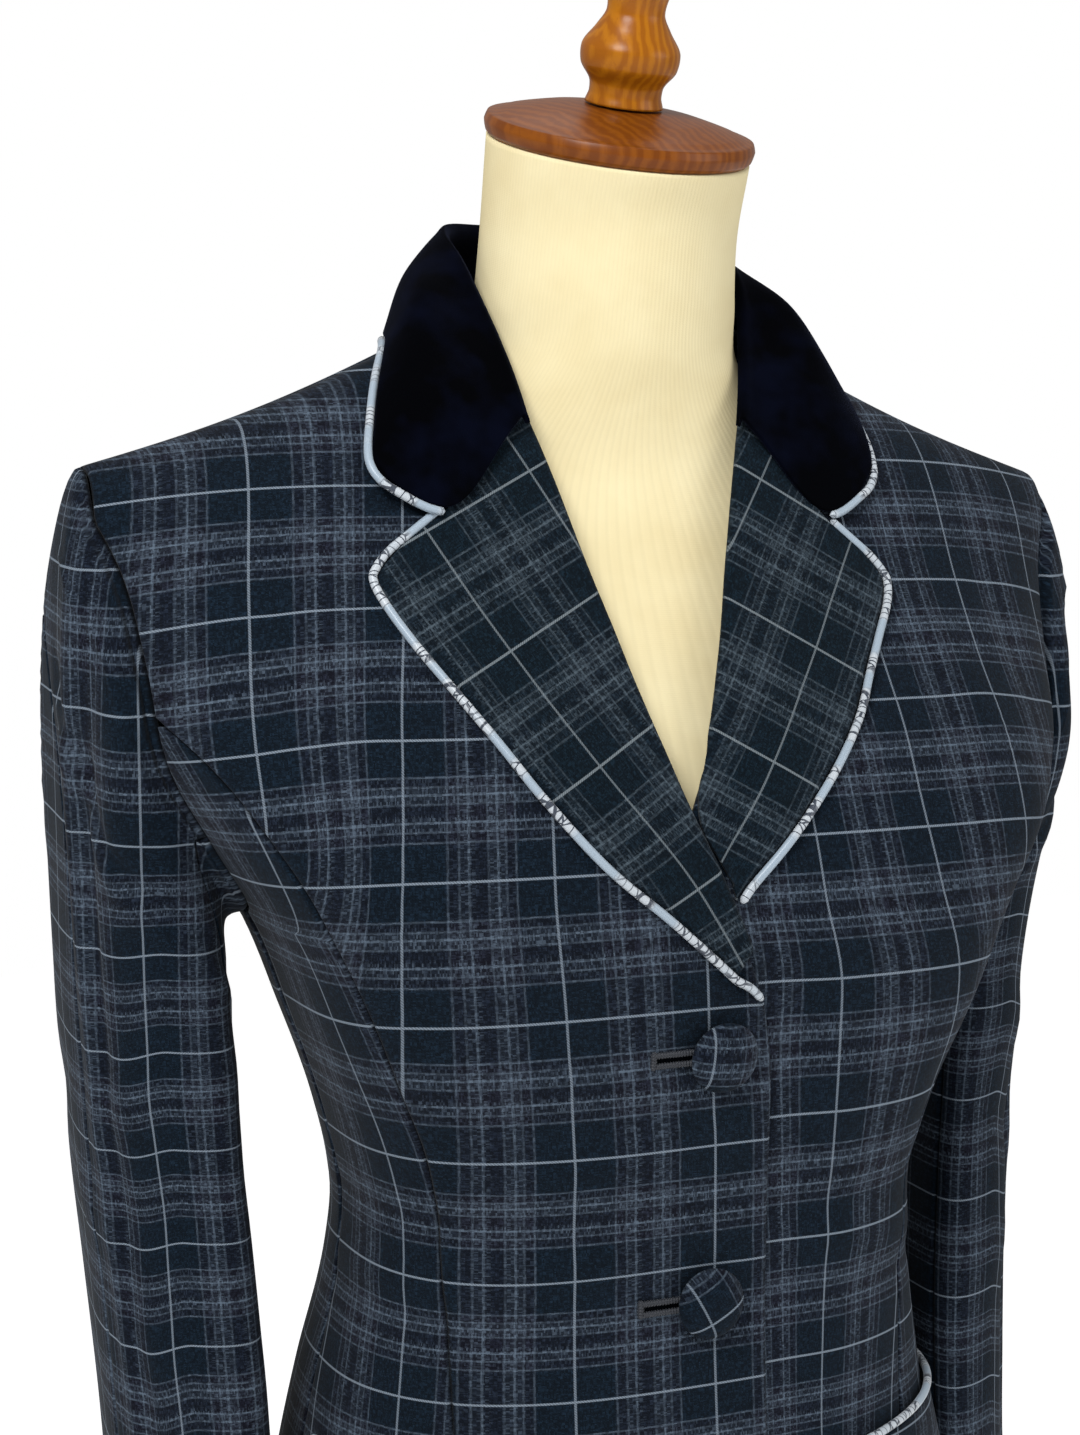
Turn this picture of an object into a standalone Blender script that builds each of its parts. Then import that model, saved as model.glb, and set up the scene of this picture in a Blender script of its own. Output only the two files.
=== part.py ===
"""Equestrian show coat, buttoned, on a limbless dress form.

Metres, +Z up, the coat's front faces -Y, the wearer's left is +X, and the
origin is on the floor at the centre of the round base. Heights in the tables
are above the waist, which is WAIST above the floor.

One smooth body surface carries everything: `front_y` and `back_y` give its
depth at any width and height. The panels are cut from it, and the lapels,
flaps, piping and buttons are laid on it.
"""
import bpy
import bmesh
import numpy as np
from math import pi, radians
from mathutils import Matrix, Vector

# ------------------------------------------------------------ driving sizes
WAIST = 1.030            # waist above the floor
CLOTH = 0.0020           # wall of the wool, velvet and facing
SEAM = 0.0005            # distance between two cut edges at a seam
UNDERARM = 0.150         # bottom of the armhole
BUTTON_PITCH = 0.100     # between the buttons, the second one at the waist
BUTTON_RADIUS = 0.014
PIPING_RADIUS = 0.0018


def table(columns, *rows):
    """Rows of numbers as one array for each named column."""
    return dict(zip(columns.split(), np.array(rows, float).T))


def smooth(x, xs, ys):
    """Cubic curve through the points (xs, ys), level past both ends."""
    slope = np.gradient(ys, xs)
    x = np.clip(x, xs[0], xs[-1])
    i = np.clip(np.searchsorted(xs, x, side="right") - 1, 0, len(xs) - 2)
    step = xs[i + 1] - xs[i]
    t = (x - xs[i]) / step
    return (ys[i] * (1 + 2 * t) * (1 - t) ** 2 + slope[i] * step * t * (1 - t) ** 2
            + ys[i + 1] * t ** 2 * (3 - 2 * t) - slope[i + 1] * step * t ** 2 * (1 - t))


def through(rows, key, name, at):
    """The column `name` of a table, read at `at` in its column `key`."""
    order = np.argsort(rows[key])
    return smooth(at, rows[key][order], rows[name][order])


# -------------------------------------------------------- the body surface
BODY = table(             # the two last columns: 2 is an ellipse, more is squarer
    "z      half_width centre   front    back   front_square back_square",
    (-0.42,   0.205,    0.000,  -0.150,  0.178, 2.6, 2.3),
    (-0.33,   0.176,    0.000,  -0.143,  0.168, 2.6, 2.3),
    (-0.25,   0.153,   -0.004,  -0.137,  0.156, 2.6, 2.3),
    (-0.18,   0.146,   -0.008,  -0.131,  0.140, 2.6, 2.3),
    (-0.10,   0.141,   -0.014,  -0.121,  0.112, 2.6, 2.3),
    (-0.05,   0.133,   -0.018,  -0.115,  0.092, 2.6, 2.3),
    (0.00,    0.1228,  -0.021,  -0.1125, 0.076, 3.0, 2.2),
    (0.03,    0.1205,  -0.022,  -0.114,  0.073, 3.2, 2.1),
    (0.07,    0.1282,  -0.022,  -0.119,  0.077, 3.6, 2.1),
    (0.11,    0.1418,  -0.020,  -0.125,  0.086, 4.4, 2.1),
    (0.15,    0.157,   -0.015,  -0.130,  0.096, 4.6, 2.2),
    (0.18,    0.178,   -0.012,  -0.129,  0.102, 4.0, 2.3),
    (0.21,    0.197,   -0.009,  -0.120,  0.106, 3.2, 2.3),
    (0.25,    0.208,   -0.005,  -0.099,  0.108, 2.7, 2.3),
    (0.285,   0.215,   -0.002,  -0.081,  0.104, 2.6, 2.3),
    (0.33,    0.232,    0.000,  -0.068,  0.100, 2.6, 2.3),
    (0.40,    0.250,    0.000,  -0.058,  0.096, 2.6, 2.3),
)
TURN = 0.200             # above here the surface starts to turn over the shoulder
TURN_SQUARENESS = 2.6
NECK_X, NECK_Z = 0.064, 0.386            # inner end of the shoulder seam
TIP_X, TIP_Z = 0.2155, 0.3255            # outer end, at the sleeve
SHOULDER_SAG = 0.005
NECK_SLOPE = (NECK_Z - TIP_Z + SHOULDER_SAG * pi) / (TIP_X - NECK_X)     # the seam's fall at the neck


def body(name, z):
    return through(BODY, "z", name, z)


def shoulder_z(x):
    """Height of the shoulder seam at a distance x from the middle, and a
    smooth arch from one inner end to the other."""
    s = (np.abs(x) - NECK_X) / (TIP_X - NECK_X)
    seam = NECK_Z + (TIP_Z - NECK_Z) * s - SHOULDER_SAG * np.sin(pi * np.clip(s, 0, 1))
    arch = NECK_Z + NECK_SLOPE * (NECK_X ** 2 - x ** 2) / (2 * NECK_X)
    return np.where(np.abs(x) < NECK_X, arch, seam)


def depth(x, z, side):
    """Distance from the section's centre line to the surface at x, z: a
    rounded-square section, times a factor that falls to 0 at the shoulder."""
    power = body(side + "_square", z)
    across = np.clip(1 - np.abs(x / body("half_width", z)) ** power, 0, 1) ** (1 / power)
    rise = np.clip((z - TURN) / (shoulder_z(x) - TURN), 0, 1)
    over = np.clip(1 - rise ** TURN_SQUARENESS, 0, 1) ** (1 / TURN_SQUARENESS)
    return (body(side, z) - body("centre", z)) * across * over


def front_y(x, z):
    return body("centre", z) * np.ones_like(x) + depth(x, z, "front")


def back_y(x, z):
    return body("centre", z) * np.ones_like(x) + depth(x, z, "back")


def normal_at(surface, x, z, step=0.00001):
    """Unit normal of the body, pointing outwards: the gradient of the
    rounded-square function that is 1 on the surface. On the shoulder line,
    where the depth is 0, it is square to the line instead."""
    side = "front" if surface is front_y else "back"

    def level(x, y, z):
        power = body(side + "_square", z)
        full = depth(0 * x, z, side)
        rise, rise_middle = (np.clip((z - TURN) / (shoulder_z(at) - TURN), 0, 0.999999)
                             for at in (x, 0 * x))
        falls, falls_middle = 1 - rise ** TURN_SQUARENESS, 1 - rise_middle ** TURN_SQUARENESS
        reach = full * (falls / falls_middle) ** (1 / TURN_SQUARENESS)
        return (np.abs(x / body("half_width", z)) ** power
                + np.abs((y - body("centre", z)) / reach) ** power)

    place = np.array((x, surface(x, z), z))
    steps = step * np.eye(3).reshape(3, 3, *[1] * x.ndim)
    n = np.stack([level(*(place + steps[k])) - level(*(place - steps[k])) for k in range(3)], axis=-1)
    slope = (shoulder_z(x + step) - shoulder_z(x - step)) / (2 * step)
    on_line = z > shoulder_z(x) - 0.0002
    n = np.where(on_line[..., None], np.stack([-slope, 0 * x, 0 * x + 1], axis=-1), n)
    return n / np.linalg.norm(n, axis=-1, keepdims=True)


def on_body(surface, x, z, lift=0.0):
    """Points on the body at x, z, moved out along the normal by `lift`."""
    x, z = np.broadcast_arrays(np.asarray(x, float), np.asarray(z, float))
    points = np.stack([x, surface(x, z), z], axis=-1)
    return points + normal_at(surface, x, z) * np.asarray(lift)[..., None]


# ------------------------------------------------------------- the armhole
ARMHOLE_FRONT = 0.038    # how far it reaches forward of its centre
ARMHOLE_BACK = 0.050
LOW_SWELL = 0.35         # it is widest below its middle
ARMHOLE_MIDDLE = (TIP_Z + UNDERARM) / 2
ARMHOLE_HALF = (TIP_Z - UNDERARM) / 2


def armhole_yz(angle):
    """The armhole seen from the side: 0 is the shoulder tip, a quarter turn
    on is the front, half a turn is the underarm."""
    z = ARMHOLE_MIDDLE + ARMHOLE_HALF * np.cos(angle)
    reach = np.where(np.sin(angle) > 0, ARMHOLE_FRONT, ARMHOLE_BACK)
    y = body("centre", z) - reach * np.sin(angle) * (1 - LOW_SWELL * np.cos(angle))
    return y, z


def side_x(y, z):
    """The width at which the body surface has the depth y at the height z,
    found by halving."""
    y, z = np.broadcast_arrays(np.asarray(y, float), np.asarray(z, float))
    low, high = np.full(y.shape, 0.05), np.minimum(body("half_width", z), TIP_X) * np.ones(y.shape)
    for _ in range(40):
        middle = (low + high) / 2
        outside = np.where(y < body("centre", z), front_y(middle, z) - y, y - back_y(middle, z)) > 0
        high = np.where(outside, middle, high)
        low = np.where(outside, low, middle)
    return (low + high) / 2


def armhole_points(front, count=121):
    """Widths and heights along the armhole's front or back half, from the
    underarm up to the tip."""
    angle = np.linspace(pi, 0, count) * (1 if front else -1)
    y, z = armhole_yz(angle)
    return side_x(y, z), z


ARMHOLE_X, ARMHOLE_Z = zip(armhole_points(False), armhole_points(True))


def armhole_x(z, front):
    """Width of the armhole's front or back edge at a height between the
    underarm and the tip."""
    return np.interp(z, ARMHOLE_Z[front], ARMHOLE_X[front])


# ---------------------------------------------------------- lines of the cut
RIGHT_EDGE = table(       # front edge of the right front: overlap, roll line, neck
    "z       x",
    (-0.42, -0.004),
    (-0.33,  0.012),
    (-0.20,  0.023),
    (-0.08,  0.026),
    (0.06,   0.025),
    (0.10,   0.022),
    (0.118,  0.018),
    (0.154,  0.002),
    (0.198, -0.018),
    (0.230, -0.027),
    (0.262, -0.033),
    (0.310, -0.043),
    (0.342, -0.051),
    (0.386, -0.064),
)
LEFT_EDGE = table(        # the same on the left front, which lies underneath
    "z       x",
    (-0.42,  0.004),
    (-0.33, -0.010),
    (-0.20, -0.018),
    (-0.08, -0.020),
    (0.12,  -0.020),
    (0.17,  -0.020),
    (0.198, -0.017),
    (0.212, -0.010),
    (0.239,  0.003),
    (0.279,  0.022),
    (0.310,  0.035),
    (0.342,  0.046),
    (0.386,  0.064),
)
PRINCESS_FRONT = table(   # from the hem to the armhole
    "z       x",
    (-0.42,  0.116),
    (-0.20,  0.100),
    (-0.05,  0.099),
    (0.024,  0.103),
    (0.048,  0.106),
    (0.066,  0.111),
    (0.092,  0.122),
    (0.116,  0.132),
    (0.144,  0.1445),
    (0.168,  0.157),
    (0.191,  0.171),
    (0.215,  0.187),
    (0.230,  0.196),
)
PRINCESS_BACK = table(
    "z       x",
    (-0.42,  0.096),
    (-0.20,  0.078),
    (0.02,   0.062),
    (0.10,   0.075),
    (0.17,   0.108),
    (0.210,  0.150),
    (0.231,  0.180),
)
PRINCESS_FRONT["x"][-1] = armhole_x(PRINCESS_FRONT["z"][-1], True)
PRINCESS_BACK["x"][-1] = armhole_x(PRINCESS_BACK["z"][-1], False)
PANEL_COLUMNS = 7
TOP_ROW = 0.360          # the row number of the shoulder seam
BACK_NECK_ROW = 0.348    # the row that meets the middle of the back neck
LOWER_ROWS = (-0.42, -0.33, -0.24, -0.16, -0.09, -0.04, 0.0, 0.035, 0.07, 0.10, 0.128, UNDERARM)
SIDE_ROWS = LOWER_ROWS + (0.154, 0.163, 0.177, 0.194, 0.212, 0.228, 0.2395)
BACK_ROWS = SIDE_ROWS + (0.248, 0.268, 0.292, 0.314, 0.332)
FRONT_ROWS = BACK_ROWS + (0.345, 0.353, 0.3572, 0.3592, TOP_ROW)
BACK_NECK_ROWS = (BACK_NECK_ROW, 0.354, 0.3575, 0.3592, TOP_ROW)


def row_height(row, x):
    """Height of a row at x: level up to the underarm, then tilting with the
    shoulder seam."""
    part = np.maximum(row - UNDERARM, 0) / (TOP_ROW - UNDERARM)
    return np.where(row <= UNDERARM, row, UNDERARM + (shoulder_z(x) - UNDERARM) * part)


def row_meets(line, row):
    """The x at which a row meets a line x(z), by repeated substitution."""
    x = 0.1
    for _ in range(40):
        x = 0.5 * (x + float(line(row_height(row, x))))
    return x


def resample(points, count, trim):
    """`count` points evenly along a polyline, leaving out `trim` at each end."""
    along = np.concatenate([[0], np.cumsum(np.linalg.norm(np.diff(points, axis=0), axis=1))])
    at = np.linspace(trim, along[-1] - trim, count)
    return np.stack([np.interp(at, along, points[:, k]) for k in range(3)], axis=-1)


def panel_grid(surface, rows, inner, outer, columns, side, drop=None):
    """Points of a panel. Each row runs round the body from the line `inner`
    to the line `outer`, both x(z) on the wearer's left; side is +1 or -1."""
    grid = []
    for row in rows:
        ends = [row_meets(inner, row), row_meets(outer, row)]
        widest = max(float(body("half_width", row_height(row, ends[1]))), ends[1])
        turn = [np.arccos(np.sign(e) * np.clip(abs(e) / widest, 0, 1) ** 1.5) for e in ends]
        angle = np.linspace(*turn, 120)
        x = widest * np.sign(np.cos(angle)) * np.abs(np.cos(angle)) ** (2 / 3)
        x[0], x[-1] = ends
        z = row_height(row, x)
        points = np.stack([x, surface(x, z), z], axis=-1)
        grid.append(resample(points, columns, SEAM / 2))
    grid = np.array(grid)
    normals = normal_at(surface, grid[..., 0], grid[..., 2])
    if drop is not None:
        grid = grid - normals * drop(grid[..., 0], grid[..., 2])[..., None]
    if rows[-1] >= TOP_ROW:
        grid[-1, :, 1] += SEAM / 2 if surface is back_y else -SEAM / 2
    return grid * (side, 1, 1), normals * (side, 1, 1)


# ------------------------------------------------------------- making meshes
def material(name, colour, roughness, metallic=0.0):
    m = bpy.data.materials.new(name)
    m.use_nodes = True
    shader = m.node_tree.nodes["Principled BSDF"]
    shader.inputs["Base Color"].default_value = (*colour, 1.0)
    shader.inputs["Roughness"].default_value = roughness
    shader.inputs["Metallic"].default_value = metallic
    m.diffuse_color = (*colour, 1.0)
    return m


def add_object(name, data, look):
    data.materials.append(look)
    obj = bpy.data.objects.new(name, data)
    obj.location.z = WAIST
    COAT.objects.link(obj)
    return obj


def grid_normals(grid):
    """Unit normals of a grid of points, from the steps along it and across."""
    along, across = np.gradient(grid, axis=0), np.gradient(grid, axis=1)
    n = np.cross(across, along)
    return n / np.linalg.norm(n, axis=-1, keepdims=True)


def sheet(name, outer, normals, look, thickness=CLOTH):
    """A cloth piece as a wall: a grid of outer points, the same grid moved in
    along the surface's own normals, and a rim. Neighbouring panels share
    those normals at a seam, so that their cut edges stay parallel. Both
    walls are cut into triangles along the same diagonals, so that the wall is
    equally thick and the left pieces mirror the right ones."""
    rows, columns = outer.shape[:2]
    points = np.concatenate([outer.reshape(-1, 3), (outer - normals * thickness).reshape(-1, 3)])
    index = np.arange(rows * columns).reshape(rows, columns)
    quads = np.stack([index[:-1, :-1], index[:-1, 1:], index[1:, 1:], index[1:, :-1]], axis=-1)
    border = np.concatenate([index[0, :-1], index[:-1, -1], index[-1, :0:-1], index[:0:-1, 0]])
    following = np.roll(border, -1)
    inside = rows * columns
    rim = np.stack([following, border, border + inside, following + inside], axis=-1)
    quads = quads.reshape(-1, 4)
    halves = np.concatenate([quads[:, [0, 1, 3]], quads[:, [1, 2, 3]]])
    edge = np.concatenate([rim[:, [0, 1, 3]], rim[:, [1, 2, 3]]])
    faces = np.concatenate([halves, halves[:, ::-1] + inside, edge])
    i, j = rows // 2, columns // 2
    facing = np.cross(outer[i, j] - outer[i, j - 1], outer[i, j] - outer[i - 1, j])
    if np.dot(facing, normals[i, j]) < 0:
        faces = faces[:, ::-1]
    mesh = bpy.data.meshes.new(name)
    mesh.from_pydata(points.tolist(), [], faces.tolist())
    mesh.shade_smooth()
    mesh.set_sharp_from_angle(angle=radians(50))
    return add_object(name, mesh, look)


def tube(name, points, radius, look):
    """A round cord along the points."""
    curve = bpy.data.curves.new(name, "CURVE")
    curve.dimensions = "3D"
    curve.bevel_depth = radius
    curve.bevel_resolution = 1
    curve.use_fill_caps = True
    spline = curve.splines.new("POLY")
    spline.points.add(len(points) - 1)
    for point, place in zip(spline.points, points):
        point.co = (*place, 1.0)
    return add_object(name, curve, look)


def turned(name, profile, look, steps=32):
    """A lathe shape: (radius, height) points from the top down the outside."""
    mesh = bpy.data.meshes.new(name)
    mesh.from_pydata([(r, 0.0, z) for r, z in profile], [(i, i + 1) for i in range(len(profile) - 1)], [])
    obj = add_object(name, mesh, look)
    screw = obj.modifiers.new("turn", "SCREW")
    screw.steps = screw.render_steps = steps
    screw.use_merge_vertices = True
    screw.merge_threshold = 0.00005
    return obj


for old in list(bpy.data.objects):
    bpy.data.objects.remove(old, do_unlink=True)
COAT = bpy.data.collections.new("show_coat_on_form")
bpy.context.scene.collection.children.link(COAT)

WOOL = material("checked_wool", (0.030, 0.036, 0.046), 0.9)
FACING = material("facing_wool", (0.028, 0.034, 0.044), 0.9)
VELVET = material("navy_velvet", (0.006, 0.007, 0.014), 0.95)
SATIN = material("silver_satin", (0.48, 0.54, 0.60), 0.35)
BUTTON = material("covered_button", (0.026, 0.032, 0.042), 0.85)
KNIT = material("cream_knit", (0.78, 0.69, 0.50), 0.9)
CAP_WOOD = material("stained_wood", (0.36, 0.13, 0.030), 0.35)
FINIAL_WOOD = material("amber_wood", (0.52, 0.27, 0.09), 0.35)
STAND_WOOD = material("stand_wood", (0.36, 0.13, 0.030), 0.4)


# ------------------------------------------------------------------- panels
def line(rows, sign=1):
    return lambda z: sign * through(rows, "z", "x", z)


def front_outer(z):
    """The centre front ends at the princess seam, then at the armhole."""
    top = PRINCESS_FRONT["z"][-1]
    return np.where(z < top, through(PRINCESS_FRONT, "z", "x", z), armhole_x(np.maximum(z, top), True))


def back_outer(z):
    top = PRINCESS_BACK["z"][-1]
    return np.where(z < top, through(PRINCESS_BACK, "z", "x", z), armhole_x(np.maximum(z, top), False))


def side_outer(front):
    """The side seam up to the underarm, then the armhole."""
    return lambda z: np.where(z <= UNDERARM, body("half_width", z),
                              armhole_x(np.maximum(z, UNDERARM), front))


def under_right(x, z):
    """How far the left front lies inside the right one where they overlap."""
    past = x - through(RIGHT_EDGE, "z", "x", z)
    t = np.clip((past - 0.006) / 0.034, 0, 1)
    return (CLOTH + 2 * SEAM) * (1 - t * t * (3 - 2 * t))


def back_panel_grid(side):
    """The back's rows above BACK_NECK_ROW start on the neck instead of the
    middle of the back."""
    parts = []
    for row in BACK_ROWS + BACK_NECK_ROWS:
        part = np.clip((row - BACK_NECK_ROW) / (TOP_ROW - BACK_NECK_ROW), 0, 1)
        start = NECK_X * np.sqrt(part)
        parts.append(panel_grid(back_y, [row], lambda z: start + 0 * z, back_outer, PANEL_COLUMNS, side))
    return [np.concatenate(kind) for kind in zip(*parts)]


def make_panels():
    for name, side, edge, drop in (("right", -1, RIGHT_EDGE, None), ("left", 1, LEFT_EDGE, under_right)):
        front = panel_grid(front_y, FRONT_ROWS, line(edge, side), front_outer, PANEL_COLUMNS, side, drop)
        side_front = panel_grid(front_y, SIDE_ROWS, line(PRINCESS_FRONT), side_outer(True), 5, side)
        side_back = panel_grid(back_y, SIDE_ROWS, line(PRINCESS_BACK), side_outer(False), 6, side)
        sheet(name + "_front", *front, WOOL)
        sheet(name + "_side_front", *side_front, WOOL)
        sheet(name + "_side_back", *side_back, WOOL)
        sheet(name + "_back", *back_panel_grid(side), WOOL)


# ------------------------------------------------------------------ sleeves
SLEEVE = table(           # a ring for each row: its outer and inner ends, its middle and half depth
    "outer_x outer_z inner_x inner_z  middle  half_depth",
    (0.2165, 0.3262, 0.1590, 0.1500, 0.000, 0.000),
    (0.2195, 0.3215, 0.1606, 0.1494, 0.000, 0.047),
    (0.2225, 0.3110, 0.1616, 0.1484, 0.001, 0.050),
    (0.2250, 0.2940, 0.1622, 0.1470, 0.003, 0.053),
    (0.2262, 0.2690, 0.1624, 0.1450, 0.007, 0.055),
    (0.2258, 0.2380, 0.1622, 0.1420, 0.012, 0.058),
    (0.2242, 0.2050, 0.1616, 0.1370, 0.017, 0.060),
    (0.2226, 0.1650, 0.1606, 0.1270, 0.021, 0.061),
    (0.2210, 0.1150, 0.1592, 0.1000, 0.024, 0.061),
    (0.2172, 0.0550, 0.1560, 0.0500, 0.024, 0.059),
    (0.2122, -0.0100, 0.1515, -0.0110, 0.019, 0.056),
    (0.2085, -0.0700, 0.1482, -0.0700, 0.012, 0.053),
    (0.2065, -0.1300, 0.1490, -0.1280, 0.006, 0.051),
    (0.2100, -0.1950, 0.1545, -0.1920, -0.001, 0.048),
    (0.2165, -0.2620, 0.1615, -0.2580, -0.006, 0.046),
)
SEAM_TURNS = table(       # where the sleeve's two seams lie on each ring, in degrees from the outer side
    "ring  back  front",
    (0,    -72,  128),
    (2,    -62,  131),
    (3,    -48,  136),
    (4,    -28,  142),
    (5,     -8,  149),
    (6,     10,  157),
    (8,     26,  165),
    (10,    22,  165),
    (14,     8,  165),
)
SWING = 0.27             # the back of each ring is turned this much outward
SLEEVE_SHRINK = 0.656    # share of the armhole's height that the rings lose
ARMHOLE_SHRINK = 0.020   # the sleeve's first ring is this much narrower than the armhole
SLIDE = 0.62             # the armhole is longer than the sleeve is round, so its points slide outward
TWIST = 0.50             # and those at the underarm turn back
UPPER_COLUMNS, UNDER_COLUMNS = 12, 12
SLEEVE_SEAM = 0.0009
ARMHOLE_GAP = 0.0013     # from the edge of the body panels to the sleeve


def sleeve_ring(ring, angle):
    """Points of one ring on the wearer's left. Angle 0 is the outer side and
    a quarter turn on is the front. The first ring is the armhole itself, and
    the others tip over about the underarm and blend to a flattened round."""
    inner, outer = (np.array((SLEEVE[end + "_x"][[0, ring]], SLEEVE[end + "_z"][[0, ring]])).T
                    for end in ("inner", "outer"))
    length = np.linalg.norm(outer - inner, axis=1)
    e0, e = (outer - inner) / length[:, None]
    n0, n = np.array((e0[1], -e0[0])), np.array((e[1], -e[0]))
    y0, z0 = armhole_yz(angle)
    chord = inner[0] + (1 + np.cos(angle))[:, None] / 2 * (outer[0] - inner[0])
    stray = np.stack([side_x(y0, z0) - chord[:, 0], 0 * y0], axis=-1)
    level = np.arctan2(e[1], e[0]) / np.arctan2(e0[1], e0[0])
    shrunk = (1 - length[1] / length[0]) / SLEEVE_SHRINK
    outward, back = SLIDE * np.sin(angle) * (1 - 0.5 * np.cos(angle)), TWIST * (1 - np.cos(angle)) / 2
    slid = angle - shrunk * (outward + back)
    along = (1 + np.cos(slid)) / 2 * length[1] + level * stray @ e0
    off = level * stray @ n0 + ARMHOLE_GAP
    x, z = (inner[1] + along[:, None] * e + off[:, None] * n).T
    y = SLEEVE["middle"][ring] - SLEEVE["half_depth"][ring] * np.sin(slid)
    soft = min(ring / 6.0, 1.0)
    y = y0 * (1 - ARMHOLE_SHRINK) * (1 - soft) + y * soft
    x = x + SWING * (1 - level) * (y - SLEEVE["middle"][ring]) * np.sin(slid) ** 2
    return np.stack([x, y, z], axis=-1)


def sleeve_normals(angles):
    """Normals of the whole sleeve, from its steps round and along, so that
    the two pieces share them at their seams."""
    small = 0.02
    last = len(SLEEVE["outer_x"]) - 1
    normals = []
    for ring, angle in enumerate(angles):
        round_step = sleeve_ring(ring, angle + small) - sleeve_ring(ring, angle - small)
        along_step = sleeve_ring(min(ring + 1, last), angle) - sleeve_ring(max(ring - 1, 0), angle)
        normals.append(np.cross(round_step, along_step))
    normals = np.array(normals)
    return normals / np.linalg.norm(normals, axis=-1, keepdims=True)


def make_sleeves():
    rings = range(len(SLEEVE["outer_x"]))
    backs, fronts = ([radians(float(through(SEAM_TURNS, "ring", k, ring))) for ring in rings]
                     for k in ("back", "front"))
    pieces = (("_upper_sleeve", backs, fronts, UPPER_COLUMNS),
              ("_under_sleeve", fronts, [b + 2 * pi for b in backs], UNDER_COLUMNS))
    for label, starts, ends, columns in pieces:
        angles = []
        for ring, start, end in zip(rings, starts, ends):
            fine = np.linspace(start, end, 90)
            points = sleeve_ring(ring, fine)
            along = np.concatenate([[0], np.cumsum(np.linalg.norm(np.diff(points, axis=0), axis=1))])
            at = np.linspace(SLEEVE_SEAM / 2, along[-1] - SLEEVE_SEAM / 2, columns)
            angles.append(np.interp(at, along, fine))
        grid = np.array([sleeve_ring(ring, angle) for ring, angle in zip(rings, angles)])
        normals = sleeve_normals(angles)
        for name, side in (("right", -1), ("left", 1)):
            sheet(name + label, grid * (side, 1, 1), normals * (side, 1, 1), WOOL)


# ------------------------------------------------------- lapels and collar
LIE = CLOTH + 0.0010     # outer side of a layer that lies on a panel
ROLL_OUT, ROLL_DOWN = 0.0031, 0.0030     # how the lapel's fold rolls over the front's edge
LAPEL_END = np.array(((0.0110, 0.1270), (0.0148, 0.1200)))        # where its cord runs on to, x and z
LAPEL_CLEAR = 0.0060      # the left lapel starts this far from the right front's edge
RIGHT_LAPEL = table(      # a row for each line across it: its height at the fold, and its outer edge
    "fold_z   edge_x   edge_z",
    (0.3420, -0.1150,  0.2880),
    (0.3270, -0.1185,  0.2815),
    (0.3090, -0.1157,  0.2722),
    (0.2870, -0.1085,  0.2585),
    (0.2650, -0.0985,  0.2428),
    (0.2430, -0.0862,  0.2240),
    (0.2200, -0.0706,  0.2010),
    (0.1950, -0.0500,  0.1775),
    (0.1730, -0.0244,  0.1588),
    (0.1510, -0.0030,  0.1440),
    (0.1400,  0.0065,  0.1365),
)
LEFT_LAPEL = table(
    "fold_z   edge_x   edge_z",
    (0.3420,  0.0955,  0.2845),
    (0.3280,  0.0975,  0.2790),
    (0.3100,  0.0945,  0.2700),
    (0.2890,  0.0850,  0.2565),
    (0.2640,  0.0750,  0.2418),
    (0.2390,  0.0652,  0.2270),
    (0.2180,  0.0495,  0.2085),
    (0.2020,  0.0338,  0.1918),
    (0.1880,  0.0200,  0.1780),
    (0.1760,  0.0105,  0.1690),
    (0.1660,  0.0060,  0.1640),
)
NOTCH = table("x z", (-0.0880, 0.3072), (0.0770, 0.3015))     # right, then left


def on_panel(x, z):
    """The right front lies on the body itself."""
    return 0.0 * x


def lapel_grid(rows, fold_x, notch, drop, roll_ends):
    """Rows across a lapel, laid on the front, from the fold at `fold_x`. The
    first row bends at the notch, and the next two follow it less. The first
    column is the roll over the front's edge, which fades between the two
    heights `roll_ends`."""
    across = np.array((0, 0.2, 0.4, 0.6, 0.8, 1.0))
    corner = across[3]
    fold = np.stack([fold_x, rows["fold_z"]], axis=-1)
    edge = np.stack([rows["edge_x"], rows["edge_z"]], axis=-1)
    flat = fold[:, None] + (edge - fold)[:, None] * across[None, :, None]
    bend = np.clip(1 - np.arange(len(fold)) / 3.0, 0, 1)[:, None] * np.interp(across, (0, corner, 1), (0, 1, 0))
    flat = flat + bend[..., None] * (np.array(notch) - flat[0, 3])
    x, z = flat[..., 0], flat[..., 1]
    normals = normal_at(front_y, x, z)
    grid = on_body(front_y, x, z, LIE - drop(x, z))
    away = grid[:, 0] - grid[:, 1]
    away = away / np.linalg.norm(away, axis=-1, keepdims=True)
    curl = np.clip((fold[:, 1:] - roll_ends[0]) / (roll_ends[1] - roll_ends[0]), 0, 1)
    top = normals[:, 0].copy()
    rolled = grid[:, 0] + curl * (away * ROLL_OUT - top * ROLL_DOWN) + (1 - curl) * away * SEAM
    normals[:, 0] = top + 0.8 * curl * away
    sideways = curl * away + (1 - curl) * top
    normals = np.concatenate([sideways[:, None], normals], axis=1)
    normals = normals / np.linalg.norm(normals, axis=-1, keepdims=True)
    return np.concatenate([rolled[:, None], grid], axis=1), normals


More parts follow.
